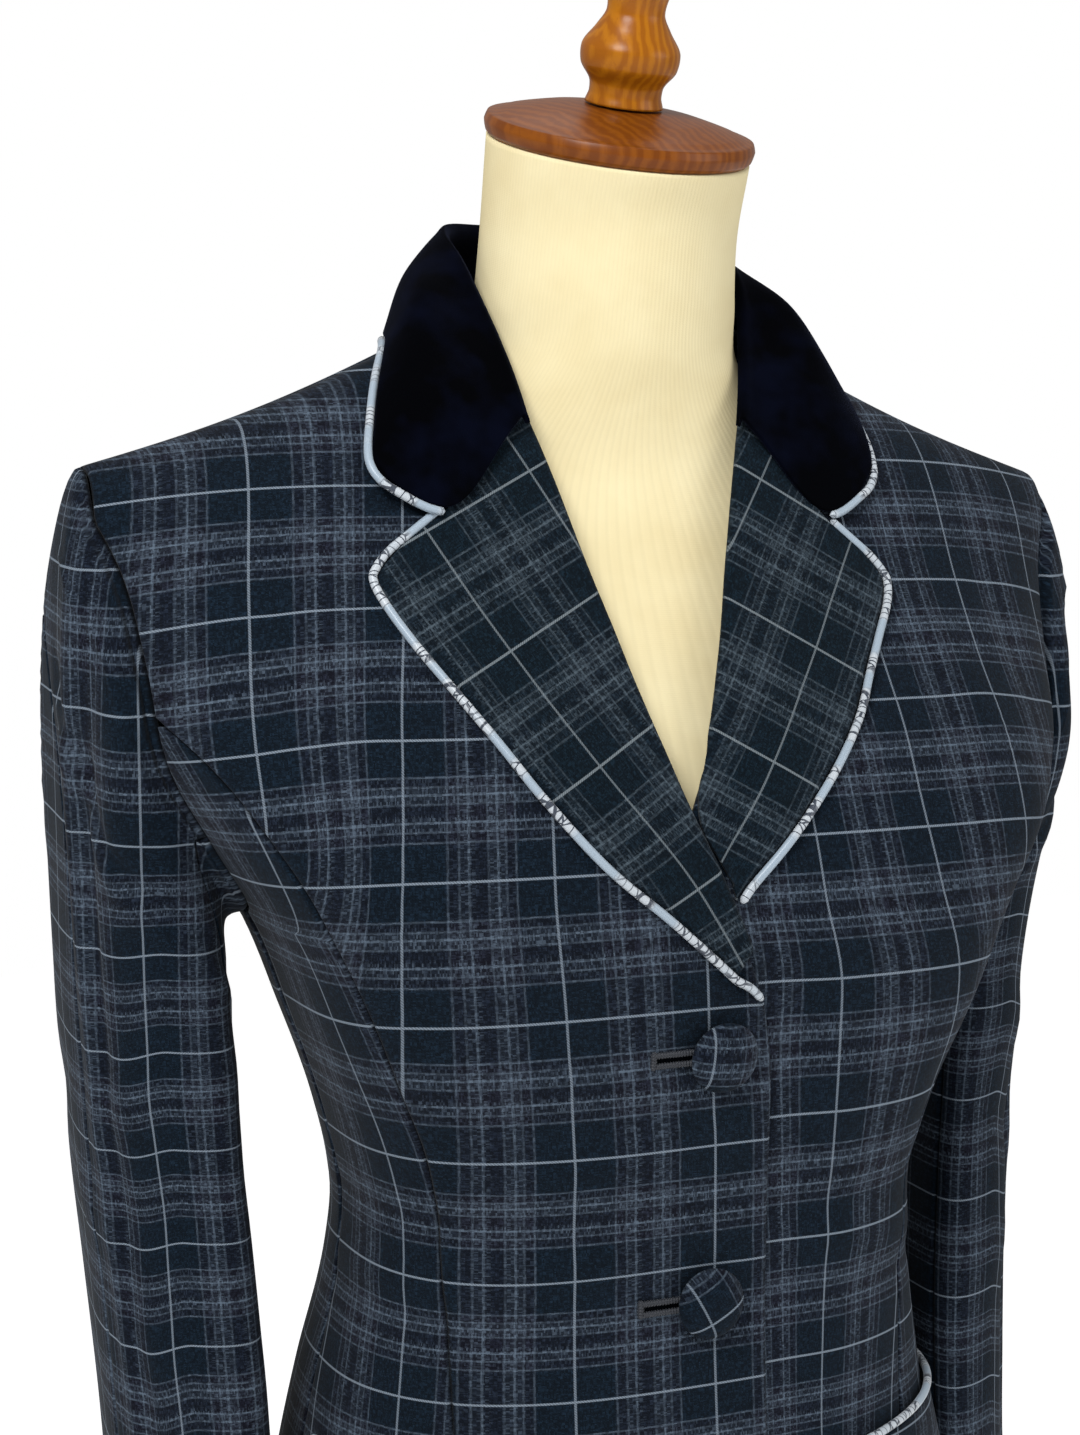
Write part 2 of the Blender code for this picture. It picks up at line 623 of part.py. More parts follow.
COLLAR = table(           # stations from the gorge to the middle of the back, on the wearer's left
    "seam_x seam_y  seam_z  fold_x fold_y  fold_z  mid_x  mid_y   mid_z   edge_x  edge_y  edge_z",
    (0.0520, -0.0545, 0.3440, 0.048, -0.0600, 0.3455, 0.084, -0.0680, 0.3095, 0.1085, -0.0600, 0.3215),
    (0.0560, -0.0440, 0.3590, 0.052, -0.0500, 0.3630, 0.084, -0.0555, 0.3500, 0.1105, -0.0545, 0.3310),
    (0.0595, -0.0325, 0.3750, 0.056, -0.0390, 0.3800, 0.086, -0.0465, 0.3675, 0.1090, -0.0470, 0.3430),
    (0.0630, -0.0210, 0.3860, 0.060, -0.0275, 0.3960, 0.085, -0.0365, 0.3830, 0.1045, -0.0350, 0.3590),
    (0.0650, -0.0080, 0.3905, 0.062, -0.0130, 0.4110, 0.083, -0.0215, 0.3970, 0.0970, -0.0185, 0.3740),
    (0.0650, 0.0090,  0.3920, 0.061, 0.0080,  0.4225, 0.079, 0.0050,  0.4055, 0.0900, 0.0040,  0.3795),
    (0.0530, 0.0300,  0.3930, 0.051, 0.0300,  0.4290, 0.067, 0.0340,  0.4075, 0.0785, 0.0330,  0.3795),
    (0.0300, 0.0450,  0.3915, 0.029, 0.0470,  0.4315, 0.041, 0.0600,  0.4060, 0.0490, 0.0660,  0.3755),
    (0.0000, 0.0520,  0.3905, 0.000, 0.0530,  0.4325, 0.000, 0.0680,  0.4060, 0.0000, 0.0780,  0.3750),
)
COLLAR_SKEW = -0.006     # the closed fronts pull the collar this far to the right at its ends
COLLAR_DROP = 0.0018     # and its left end this far down
FOLD_RADIUS = 0.0030


def collar_stations(count):
    """The table's stations, mirrored and drawn finer along the neck."""
    mirrored = {k: np.concatenate([v, v[-2::-1] * (-1 if k.endswith("_x") else 1)]) for k, v in COLLAR.items()}
    knots = np.arange(len(mirrored["seam_x"]), dtype=float)
    at = np.linspace(0, knots[-1], count)
    stations = {k: smooth(at, knots, v) for k, v in mirrored.items()}
    end = np.abs(at / knots[-1] * 2 - 1) ** 3
    left = at < knots[-1] / 2
    for k in stations:
        if k.endswith("_x"):
            stations[k] = stations[k] + COLLAR_SKEW * end
        if k in ("mid_z", "edge_z"):
            stations[k] = stations[k] - COLLAR_DROP * end * left
    return stations


def collar_grid(count=25, across=11):
    """Each station is a strip from the neck seam up the stand, over the fold
    and down the fall to the outer edge."""
    s = collar_stations(count)
    grid = []
    for i in range(count):
        seam, fold, mid, edge = (np.array([s[part + "_" + axis][i] for axis in "xyz"])
                                 for part in ("seam", "fold", "mid", "edge"))
        out = (mid - fold) * (1, 1, 0)
        out = out / np.linalg.norm(out)
        down = np.array((0.0, 0.0, 1.2 * FOLD_RADIUS))
        path = [seam, seam * 0.45 + fold * 0.55 - out * FOLD_RADIUS * 0.6, fold - out * FOLD_RADIUS - down,
                fold, fold + out * FOLD_RADIUS * 1.3 - down, mid, edge]
        path = np.array(path)
        knots = np.concatenate([[0], np.cumsum(np.linalg.norm(np.diff(path, axis=0), axis=1))])
        at = np.concatenate([np.linspace(0, knots[2], 3)[:-1], np.linspace(knots[2], knots[4], 4)[:-1],
                             np.linspace(knots[4], knots[5], 3)[:-1],
                             np.linspace(knots[5], knots[6], across - 7)])
        grid.append(np.stack([smooth(at, knots, path[:, k]) for k in range(3)], axis=-1))
    return np.array(grid)


COLLAR_MID = 7            # the column of the collar's grid that passes through the stations' mid points
PIPE_GAP = 0.0005
CORD_LIE = PIPING_RADIUS + 0.0006        # the middle of a cord beside a lapel, off the panel


def beside(edge, inside, normals, lower):
    """The line of a cord along a sheet's edge: square off the edge, away from
    the points just inside it, and `lower` under the sheet's outer side. It
    stands further off where the edge turns."""
    steps = np.diff(edge, axis=0)
    steps = steps / np.linalg.norm(steps, axis=-1, keepdims=True)
    before, after = np.concatenate([steps[:1], steps]), np.concatenate([steps, steps[-1:]])
    along = before + after
    along = along / np.linalg.norm(along, axis=-1, keepdims=True)
    away = edge - inside
    away = away - along * (away * along).sum(axis=-1, keepdims=True)
    away = away / np.linalg.norm(away, axis=-1, keepdims=True)
    mitre = 1 / (before * along).sum(axis=-1, keepdims=True)
    cord = edge + away * (PIPING_RADIUS + PIPE_GAP) * mitre - normals * lower
    cord[0] = cord[0] * 0.75 + cord[1] * 0.25
    return cord


def border(grid, along):
    """Points of a grid at the (row, column) pairs in `along`."""
    rows, columns = np.array(along).T
    return grid[rows, columns]


def make_collar_and_lapels():
    right_fold = line(RIGHT_EDGE)(RIGHT_LAPEL["fold_z"])
    left_fold = np.maximum(line(LEFT_EDGE)(LEFT_LAPEL["fold_z"]),
                           line(RIGHT_EDGE)(LEFT_LAPEL["fold_z"]) + LAPEL_CLEAR)
    lapels = (("right", RIGHT_LAPEL, right_fold, 0, on_panel, (0.115, 0.135)),
              ("left", LEFT_LAPEL, left_fold, 1, under_right, (0.205, 0.222)))
    for name, rows, fold, k, drop, roll_ends in lapels:
        grid, normals = lapel_grid(rows, fold, (NOTCH["x"][k], NOTCH["z"][k]), drop, roll_ends)
        sheet(name + "_lapel", grid, normals, FACING)
        last = grid.shape[0] - 1
        edge = [(0, 4), (0, 5), (0, 6)] + [(row, 6) for row in range(1, last + 1)]
        inside = [(1, 4), (1, 5), (1, 5)] + [(row, 5) for row in range(1, last + 1)]
        cord = beside(border(grid, edge), border(grid, inside), border(normals, edge), LIE - CORD_LIE)
        if name == "right":
            cord = np.concatenate([cord, on_body(front_y, LAPEL_END[:, 0], LAPEL_END[:, 1], CORD_LIE)])
        tube(name + "_lapel_piping", cord, PIPING_RADIUS, SATIN)
    grid = collar_grid()
    normals = grid_normals(grid)
    sheet("collar", grid, normals, VELVET)
    last, outer = grid.shape[0] - 1, grid.shape[1] - 1
    side = list(range(COLLAR_MID, outer))
    edge = [(0, c) for c in side] + [(row, outer) for row in range(last + 1)] \
        + [(last, c) for c in side[::-1]]
    inside = [(1, c) for c in side] + [(1, outer - 1)] + [(row, outer - 1) for row in range(1, last)] \
        + [(last - 1, outer - 1)] + [(last - 1, c) for c in side[::-1]]
    cord = beside(border(grid, edge), border(grid, inside), border(normals, edge), 0.0)
    cord[-1] = cord[-1] * 0.75 + cord[-2] * 0.25
    tube("collar_piping", cord, PIPING_RADIUS, SATIN)


# -------------------------------------------------------- pockets and buttons
POCKET_CORD_LIE = PIPING_RADIUS + 0.0014
FLAP = {"front_x": 0.056, "back_x": 0.1345, "front_z": -0.072, "back_z": -0.064, "height": 0.045}
FLAP_ROWS = table(        # share of the height, what the round corners take off each end, lift off the panel
    "down  trim    lift",
    (0.00, 0.0005, 0.0000),
    (0.35, 0.0005, 0.0010),
    (0.70, 0.0010, 0.0020),
    (0.92, 0.0040, 0.0026),
    (1.00, 0.0100, 0.0028),
)
BUTTON_HEIGHTS = (BUTTON_PITCH, 0.0, -BUTTON_PITCH)
BUTTON_LIFT = 0.0006


def hip_line(down):
    """The pocket's line round the body, `down` below its seam."""
    x = np.linspace(FLAP["front_x"], FLAP["back_x"], 60)
    t = (x - x[0]) / (x[-1] - x[0])
    return x, FLAP["front_z"] + (FLAP["back_z"] - FLAP["front_z"]) * t - down


def make_pockets():
    grid = []
    for down, trim, lift in zip(FLAP_ROWS["down"], FLAP_ROWS["trim"], FLAP_ROWS["lift"]):
        x, z = hip_line(down * FLAP["height"])
        grid.append(resample(on_body(front_y, x, z, LIE + lift), 9, trim))
    grid = np.array(grid)
    normals = normal_at(front_y, grid[..., 0], grid[..., 2])
    x, z = hip_line(-PIPING_RADIUS - PIPE_GAP)
    cord = resample(on_body(front_y, x, z, POCKET_CORD_LIE), 13, 0.0)
    for name, side in (("right", -1), ("left", 1)):
        sheet(name + "_pocket_flap", grid * (side, 1, 1), normals * (side, 1, 1), WOOL)
        tube(name + "_pocket_piping", cord * (side, 1, 1), PIPING_RADIUS, SATIN)


BUTTON_PROFILE = ((0, 0.0092), (0.0065, 0.0083), (0.0110, 0.0060), (BUTTON_RADIUS, 0.0030),
                  (0.0134, 0.0014), (0.0110, 0.0004), (0, 0.0004))


def make_buttons():
    for number, z in enumerate(BUTTON_HEIGHTS, start=1):
        x, z = np.array([0.0]), np.array([z])
        normal = Vector(normal_at(front_y, x, z)[0])
        button = turned("button_%d" % number, BUTTON_PROFILE, BUTTON, 16)
        place = Matrix.Translation(Vector(on_body(front_y, x, z, BUTTON_LIFT)[0]) + Vector((0, 0, WAIST)))
        button.matrix_world = place @ normal.to_track_quat("Z", "Y").to_matrix().to_4x4()


# ------------------------------------------------------------------ the form
CAP_Z, CAP_Y, CAP_TILT = 0.455, -0.030, radians(19)
CAP_RADIUS = 0.0555
FORM = table(             # sections of the padded form, inside the coat
    "z       half_width  middle   half_depth  squareness",
    (-0.260,  0.128,     0.006,   0.118,     2.2),
    (-0.200,  0.134,     0.003,   0.124,     2.2),
    (-0.100,  0.126,    -0.004,   0.106,     2.2),
    (-0.050,  0.118,    -0.011,   0.093,     2.2),
    (0.000,   0.110,    -0.018,   0.084,     2.2),
    (0.030,   0.109,    -0.020,   0.083,     2.2),
    (0.100,   0.126,    -0.018,   0.092,     2.2),
    (0.160,   0.142,    -0.013,   0.104,     2.2),
    (0.200,   0.152,    -0.009,   0.102,     2.2),
    (0.250,   0.154,    -0.002,   0.084,     2.2),
    (0.300,   0.138,     0.002,   0.062,     2.1),
    (0.330,   0.108,     0.000,   0.052,     2.0),
    (0.350,   0.078,    -0.006,   0.049,     2.0),
    (0.370,   0.0590,   -0.011,   0.0500,    2.0),
    (0.392,   0.0552,   -0.0155,  0.0505,    2.0),
    (0.415,   0.0535,   -0.0190,  0.0520,    2.0),
)
NECK_TOP = 0.0540
TOUCH = 0.0003            # between the form, its cap and finial, the pole and the base
POLE_RADIUS = 0.0165
CAP_PROFILE = ((0, 0.0170), (0.016, 0.0163), (0.034, 0.0140), (0.048, 0.0105), (0.0515, 0.0092),
               (0.0545, 0.0085), (CAP_RADIUS, 0.0055), (0.0545, 0.0015), (0.0530, 0), (0, 0))
FINIAL_PROFILE = ((0, 0.077), (0.008, 0.0755), (0.015, 0.070), (0.0185, 0.060), (0.0170, 0.050),
                  (0.0125, 0.0425), (0.0118, 0.036), (0.0150, 0.030), (0.0200, 0.022), (0.0195, 0.015),
                  (0.0150, 0.008), (0.0148, 0.004), (0.0160, 0.0), (0, 0))
BASE_PROFILE = ((0, 0.032), (0.030, 0.032), (0.036, 0.029), (0.050, 0.026), (0.150, 0.022),
                (0.180, 0.017), (0.190, 0.009), (0.190, 0), (0, 0))


def make_form():
    turns = np.linspace(0, 2 * pi, 33)[:-1]
    rings = []
    for i in range(len(FORM["z"])):
        r = {k: v[i] for k, v in FORM.items()}
        c, s = np.cos(turns), np.sin(turns)
        x = r["half_width"] * np.sign(c) * np.abs(c) ** (2 / r["squareness"])
        y = r["middle"] + r["half_depth"] * np.sign(s) * np.abs(s) ** (2 / r["squareness"])
        rings.append(np.stack([x, y, np.full_like(x, r["z"])], axis=-1))
    tilt = np.array(Matrix.Rotation(CAP_TILT, 3, "X"))
    flat = np.stack([np.cos(turns), np.sin(turns), 0 * turns], axis=-1) * NECK_TOP
    rings.append(flat @ tilt.T + (0, CAP_Y, CAP_Z - TOUCH))
    bm = bmesh.new()
    loops = [[bm.verts.new(p) for p in ring] for ring in rings]
    for low, high in zip(loops, loops[1:]):
        for k in range(len(turns)):
            bm.faces.new((low[k], low[k - 1], high[k - 1], high[k]))
    bm.faces.new(loops[0])
    bm.faces.new(loops[-1][::-1])
    bmesh.ops.recalc_face_normals(bm, faces=bm.faces)
    mesh = bpy.data.meshes.new("form_torso")
    bm.to_mesh(mesh)
    bm.free()
    mesh.shade_smooth()
    add_object("form_torso", mesh, KNIT)
    cap = turned("neck_cap", CAP_PROFILE, CAP_WOOD, 40)
    finial = turned("finial", FINIAL_PROFILE, FINIAL_WOOD, 32)
    place = Matrix.Translation((0, CAP_Y, WAIST + CAP_Z)) @ Matrix.Rotation(CAP_TILT, 4, "X")
    cap.matrix_world = place
    finial.matrix_world = place @ Matrix.Translation((0, 0, CAP_PROFILE[0][1] + TOUCH))
    pole_top, pole_bottom = FORM["z"][0] - TOUCH, BASE_PROFILE[0][1] + TOUCH - WAIST
    turned("pole", ((0, pole_top), (POLE_RADIUS, pole_top), (POLE_RADIUS, pole_bottom), (0, pole_bottom)),
           STAND_WOOD, 24)
    turned("base", [(r, z - WAIST) for r, z in BASE_PROFILE], STAND_WOOD, 48)


make_panels()
make_sleeves()
make_collar_and_lapels()
make_pockets()
make_buttons()
make_form()
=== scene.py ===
# %% [markdown]
# # A show coat on a dress form
# The coat is sewn from flat pieces of checked wool that are shaped by their
# seams: two fronts, two side panels on each side, two backs and two-piece
# sleeves. It stands on a padded form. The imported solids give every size, and
# this script lays finer cloth on the same surfaces and dresses it.

# %% Load the frame and remember its box
from math import pi, radians

import bpy
import numpy as np
from mathutils import Matrix, Vector


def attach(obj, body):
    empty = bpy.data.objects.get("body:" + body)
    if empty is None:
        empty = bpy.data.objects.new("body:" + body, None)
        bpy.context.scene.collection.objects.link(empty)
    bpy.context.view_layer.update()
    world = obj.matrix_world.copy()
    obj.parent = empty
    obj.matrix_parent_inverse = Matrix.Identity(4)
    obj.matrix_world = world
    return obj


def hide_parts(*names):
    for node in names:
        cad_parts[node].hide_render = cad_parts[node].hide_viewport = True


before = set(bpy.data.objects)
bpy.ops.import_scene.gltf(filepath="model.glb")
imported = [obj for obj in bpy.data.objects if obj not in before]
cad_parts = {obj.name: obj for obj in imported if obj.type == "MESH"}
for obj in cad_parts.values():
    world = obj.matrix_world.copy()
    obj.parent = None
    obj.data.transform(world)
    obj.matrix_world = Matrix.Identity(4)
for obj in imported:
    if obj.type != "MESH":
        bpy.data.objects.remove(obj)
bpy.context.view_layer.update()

WAIST = 1.030            # every height below is measured from the waist
CLOTH = 0.0020           # wall of the wool
HEM = -0.42              # height of the coat's lower edge

# %% [markdown]
# ## Tables and smooth curves
# A body has no simple formula, so a tailor keeps a table of measurements and
# draws a smooth curve through them. The helpers do the same: a table has
# named columns, and a cubic curve runs through a column.

# %% Curves through a table
def table(columns, *rows):
    """Rows of numbers as one array for each named column."""
    return dict(zip(columns.split(), np.array(rows, float).T))


def smooth(x, xs, ys):
    """Cubic curve through the points (xs, ys), level past both ends: at a
    share t of a step the value is the mix of both ends and their slopes with
    the weights (1+2t)(1-t)^2, t(1-t)^2, t^2(3-2t) and -t^2(1-t)."""
    ys = np.asarray(ys, float)
    slope = np.gradient(ys, xs, axis=0)
    x = np.clip(x, xs[0], xs[-1])
    i = np.clip(np.searchsorted(xs, x, side="right") - 1, 0, len(xs) - 2)
    step = xs[i + 1] - xs[i]
    t = (x - xs[i]) / step
    wide = (Ellipsis,) + (None,) * (ys.ndim - 1)
    t, step = t[wide], step[wide]
    return (ys[i] * (1 + 2 * t) * (1 - t) ** 2 + slope[i] * step * t * (1 - t) ** 2
            + ys[i + 1] * t ** 2 * (3 - 2 * t) - slope[i + 1] * step * t ** 2 * (1 - t))


def through(rows, key, name, at):
    """The column `name` of a table, read at `at` in its column `key`."""
    order = np.argsort(rows[key])
    return smooth(at, rows[key][order], rows[name][order])


def unit(v):
    return v / np.linalg.norm(v, axis=-1, keepdims=True)


def ramp(x, low, high):
    """0 below `low`, 1 above `high`, and the smooth step 3t^2-2t^3 between."""
    t = np.clip((x - low) / (high - low), 0, 1)
    return t * t * (3 - 2 * t)


# %% [markdown]
# ## The body under the cloth
# All the panels are cut from one surface, so they meet at their seams by
# themselves. Each level section is a rounded square in front and an ellipse
# behind, and above the armhole a factor turns the surface over the shoulder.

# %% The body surface
BODY = table(
    "z      half_width centre   front    back   front_square back_square",
    (-0.42,   0.205,    0.000,  -0.150,  0.178, 2.6, 2.3),
    (-0.33,   0.176,    0.000,  -0.143,  0.168, 2.6, 2.3),
    (-0.25,   0.153,   -0.004,  -0.137,  0.156, 2.6, 2.3),
    (-0.18,   0.146,   -0.008,  -0.131,  0.140, 2.6, 2.3),
    (-0.10,   0.141,   -0.014,  -0.121,  0.112, 2.6, 2.3),
    (-0.05,   0.133,   -0.018,  -0.115,  0.092, 2.6, 2.3),
    (0.00,    0.1228,  -0.021,  -0.1125, 0.076, 3.0, 2.2),
    (0.03,    0.1205,  -0.022,  -0.114,  0.073, 3.2, 2.1),
    (0.07,    0.1282,  -0.022,  -0.119,  0.077, 3.6, 2.1),
    (0.11,    0.1418,  -0.020,  -0.125,  0.086, 4.4, 2.1),
    (0.15,    0.157,   -0.015,  -0.130,  0.096, 4.6, 2.2),
    (0.18,    0.178,   -0.012,  -0.129,  0.102, 4.0, 2.3),
    (0.21,    0.197,   -0.009,  -0.120,  0.106, 3.2, 2.3),
    (0.25,    0.208,   -0.005,  -0.099,  0.108, 2.7, 2.3),
    (0.285,   0.215,   -0.002,  -0.081,  0.104, 2.6, 2.3),
    (0.33,    0.232,    0.000,  -0.068,  0.100, 2.6, 2.3),
    (0.40,    0.250,    0.000,  -0.058,  0.096, 2.6, 2.3),
)
TURN, TURN_SQUARENESS = 0.200, 2.6
NECK_X, NECK_Z = 0.064, 0.386
TIP_X, TIP_Z = 0.2155, 0.3255
SHOULDER_SAG = 0.005
NECK_SLOPE = (NECK_Z - TIP_Z + SHOULDER_SAG * pi) / (TIP_X - NECK_X)
SEAM_TOP = 0.0002        # this close to the shoulder seam, the cloth faces as the seam does
print("heights in the body's table:", len(BODY["z"]))


# %% Depth and normals of the body
def body(name, z):
    return through(BODY, "z", name, z)


def shoulder_z(x):
    """Height of the shoulder seam: a line that sags by half a sine wave, and
    a parabola over the neck."""
    s = (np.abs(x) - NECK_X) / (TIP_X - NECK_X)
    seam = NECK_Z + (TIP_Z - NECK_Z) * s - SHOULDER_SAG * np.sin(pi * np.clip(s, 0, 1))
    arch = NECK_Z + NECK_SLOPE * (NECK_X ** 2 - x ** 2) / (2 * NECK_X)
    return np.where(np.abs(x) < NECK_X, arch, seam)


def depth(x, z, side):
    """Depth of the section at x: (1 - |x/w|^p)^(1/p) of its full depth, times
    (1 - r^q)^(1/q), where r rises from 0 at the armhole to 1 at the seam."""
    power = body(side + "_square", z)
    across = np.clip(1 - np.abs(x / body("half_width", z)) ** power, 0, 1) ** (1 / power)
    rise = np.clip((z - TURN) / (shoulder_z(x) - TURN), 0, 1)
    over = np.clip(1 - rise ** TURN_SQUARENESS, 0, 1) ** (1 / TURN_SQUARENESS)
    return (body(side, z) - body("centre", z)) * across * over


def front_y(x, z):
    return body("centre", z) * np.ones_like(x) + depth(x, z, "front")


def back_y(x, z):
    return body("centre", z) * np.ones_like(x) + depth(x, z, "back")


def normal_at(surface, x, z, step=0.00001):
    """Outward unit normal: the gradient of |x/w|^p + |y/d|^p, by differences."""
    side = "front" if surface is front_y else "back"

    def level(x, y, z):
        power = body(side + "_square", z)
        full = depth(0 * x, z, side)
        rise, rise_middle = (np.clip((z - TURN) / (shoulder_z(at) - TURN), 0, 0.999999)
                             for at in (x, 0 * x))
        falls, falls_middle = 1 - rise ** TURN_SQUARENESS, 1 - rise_middle ** TURN_SQUARENESS
        reach = full * (falls / falls_middle) ** (1 / TURN_SQUARENESS)
        return (np.abs(x / body("half_width", z)) ** power
                + np.abs((y - body("centre", z)) / reach) ** power)

    place = np.array((x, surface(x, z), z))
    steps = step * np.eye(3).reshape(3, 3, *[1] * x.ndim)
    n = np.stack([level(*(place + near)) - level(*(place - near)) for near in steps], axis=-1)
    slope = (shoulder_z(x + step) - shoulder_z(x - step)) / (2 * step)
    on_line = z > shoulder_z(x) - SEAM_TOP
    n = np.where(on_line[..., None], np.stack([-slope, 0 * x, 0 * x + 1], axis=-1), n)
    return unit(n)


def on_body(surface, x, z, lift=0.0):
    """Points on the body at x, z, moved out along the normal by `lift`."""
    x, z = np.broadcast_arrays(np.asarray(x, float), np.asarray(z, float))
    points = np.stack([x, surface(x, z), z], axis=-1)
    return points + normal_at(surface, x, z) * np.asarray(lift)[..., None]


print("chest depth at the bust: %.0f mm" % (1000 * (body("back", 0.15) - body("front", 0.15))))

# %% [markdown]
# ## The armhole
# Seen from the side an armhole is an egg: a circle whose width grows below
# its middle. Its width on the body is found by halving, because the body
# surface gives depth from width and not the other way round.

# %% The armhole
UNDERARM = 0.150
ARMHOLE_FRONT, ARMHOLE_BACK, LOW_SWELL = 0.038, 0.050, 0.35
ARMHOLE_MIDDLE, ARMHOLE_HALF = (TIP_Z + UNDERARM) / 2, (TIP_Z - UNDERARM) / 2


def armhole_yz(angle):
    """Egg seen from the side: 0 is the shoulder tip, a quarter turn is the front."""
    z = ARMHOLE_MIDDLE + ARMHOLE_HALF * np.cos(angle)
    reach = np.where(np.sin(angle) > 0, ARMHOLE_FRONT, ARMHOLE_BACK)
    return body("centre", z) - reach * np.sin(angle) * (1 - LOW_SWELL * np.cos(angle)), z


def side_x(y, z):
    """The width at which the body has the depth y at the height z."""
    y, z = np.broadcast_arrays(np.asarray(y, float), np.asarray(z, float))
    low, high = np.full(y.shape, 0.05), np.minimum(body("half_width", z), TIP_X) * np.ones(y.shape)
    for _ in range(40):
        middle = (low + high) / 2
        outside = np.where(y < body("centre", z), front_y(middle, z) - y, y - back_y(middle, z)) > 0
        high = np.where(outside, middle, high)
        low = np.where(outside, low, middle)
    return (low + high) / 2


def armhole_half(front, count=241):
    angle = np.linspace(pi, 0, count) * (1 if front else -1)
    y, z = armhole_yz(angle)
    return side_x(y, z), z


ARMHOLE_X, ARMHOLE_Z = zip(armhole_half(False), armhole_half(True))


def armhole_x(z, front):
    return np.interp(z, ARMHOLE_Z[front], ARMHOLE_X[front])


print("armhole height: %.0f mm" % (2000 * ARMHOLE_HALF))

# %% [markdown]
# ## Cloth as a mesh
# Real cloth is a thin wall with a cut edge. A grid of points is the right
# side of the cloth, the same grid moved in along the body's own normals is
# the wrong side, and a rim joins them. A second table of two numbers for each
# point says where it lies on the bolt of cloth, counted in check repeats, so
# the pattern can follow the grain of each piece.

# %% From points to objects
def put(name, data):
    """An object of this data in the scene."""
    obj = bpy.data.objects.new(name, data)
    bpy.context.scene.collection.objects.link(obj)
    return obj


def mesh_object(name, points, faces, uv, look):
    """Points, faces and a cloth coordinate for each point as one object. Each
    array of `faces` holds corner numbers, one face in a row. The object stays
    at the origin, and its heights are lifted by the waist."""
    points = points + (0, 0, WAIST)
    sizes = np.concatenate([np.full(len(part), part.shape[1]) for part in faces])
    corners = np.concatenate([part.ravel() for part in faces])
    mesh = bpy.data.meshes.new(name)
    mesh.vertices.add(len(points))
    mesh.vertices.foreach_set("co", points.astype(np.float32).ravel())
    mesh.loops.add(len(corners))
    mesh.loops.foreach_set("vertex_index", corners.astype(np.int32))
    mesh.polygons.add(len(sizes))
    mesh.polygons.foreach_set("loop_start", (np.cumsum(sizes) - sizes).astype(np.int32))
    mesh.update(calc_edges=True)
    layer = mesh.uv_layers.new(name="cloth")
    layer.data.foreach_set("uv", np.asarray(uv, np.float32)[corners].ravel())
    mesh.shade_smooth()
    mesh.materials.append(look)
    return put(name, mesh)


def ring_quads(count, sides):
    """Corner numbers of closed rings, of each point's neighbour round the
    ring, and of the quads between the rings."""
    index = np.arange(count * sides).reshape(count, sides)
    following = np.roll(index, -1, axis=1)
    corners = (index[:-1], following[:-1], following[1:], index[1:])
    return index, following, np.stack(corners, axis=-1).reshape(-1, 4)


def tube_faces(count, sides):
    """Faces of a row of closed rings with a fan of triangles over both ends.
    The fans' middle points come after the points of the rings."""
    index, following, quads = ring_quads(count, sides)
    first, last = (np.full(sides, count * sides + k) for k in (0, 1))
    fans = np.array(((first, following[0], index[0]), (last, index[-1], following[-1])))
    return [quads, np.moveaxis(fans, 1, 2).reshape(-1, 3)]


# %% Cloth from a grid of points
def cloth(name, outer, normals, uv, look, thickness=CLOTH, seam=None):
    """A wall of cloth: outer grid, inner grid and rim. `seam` says how close
    each point is to a sewn edge, from 0 to 1, and painted shade darkens the cloth there."""
    rows, columns = outer.shape[:2]
    inside = rows * columns
    index = np.arange(inside).reshape(rows, columns)
    corners = (index[:-1, :-1], index[:-1, 1:], index[1:, 1:], index[1:, :-1])
    quads = np.stack(corners, axis=-1).reshape(-1, 4)
    border = np.concatenate([index[0, :-1], index[:-1, -1], index[-1, :0:-1], index[:0:-1, 0]])
    following = np.roll(border, -1)
    rim = np.stack([following, border, border + inside, following + inside], axis=-1)
    faces = np.concatenate([quads, quads[:, ::-1] + inside, rim])
    i, j = rows // 2, columns // 2
    facing = np.cross(outer[i, j] - outer[i, j - 1], outer[i, j] - outer[i - 1, j])
    if np.dot(facing, normals[i, j]) < 0:
        faces = faces[:, ::-1]
    points = np.concatenate([outer, outer - normals * thickness]).reshape(-1, 3)
    uv = np.broadcast_to(uv, outer.shape[:2] + (2,)).reshape(-1, 2)
    piece = mesh_object(name, points, [faces], np.concatenate([uv, uv]), look)
    if seam is not None:
        near = np.broadcast_to(seam, outer.shape[:2]).ravel().astype(np.float32)
        # the seam attribute holds each point's share of painted seam shade
        layer = piece.data.attributes.new("seam", "FLOAT", "POINT")
        layer.data.foreach_set("value", np.concatenate([near, near]))
    return piece


def area_of(outer):
    """Area of a grid of points: half the cross product of each quad's diagonals."""
    a, b = outer[1:, 1:] - outer[:-1, :-1], outer[1:, :-1] - outer[:-1, 1:]
    return float(np.linalg.norm(np.cross(a, b), axis=-1).sum() / 2)


def lengths(points, axis=0):
    """Distance along a line of points from its first point."""
    steps = np.linalg.norm(np.diff(points, axis=axis), axis=-1)
    zero = np.zeros_like(np.take(steps, [0], axis=axis))
    return np.concatenate([zero, np.cumsum(steps, axis=axis)], axis=axis)


# %% [markdown]
# ## Colours and surfaces of the cloth
# A windowpane check is woven: pale threads make the thin lines, and between
# them bands of pale threads show only here and there, where the weave lets
# them through. So the pattern is worked out on the cloth's own coordinates,
# in repeats, and each band is broken up thread by thread.

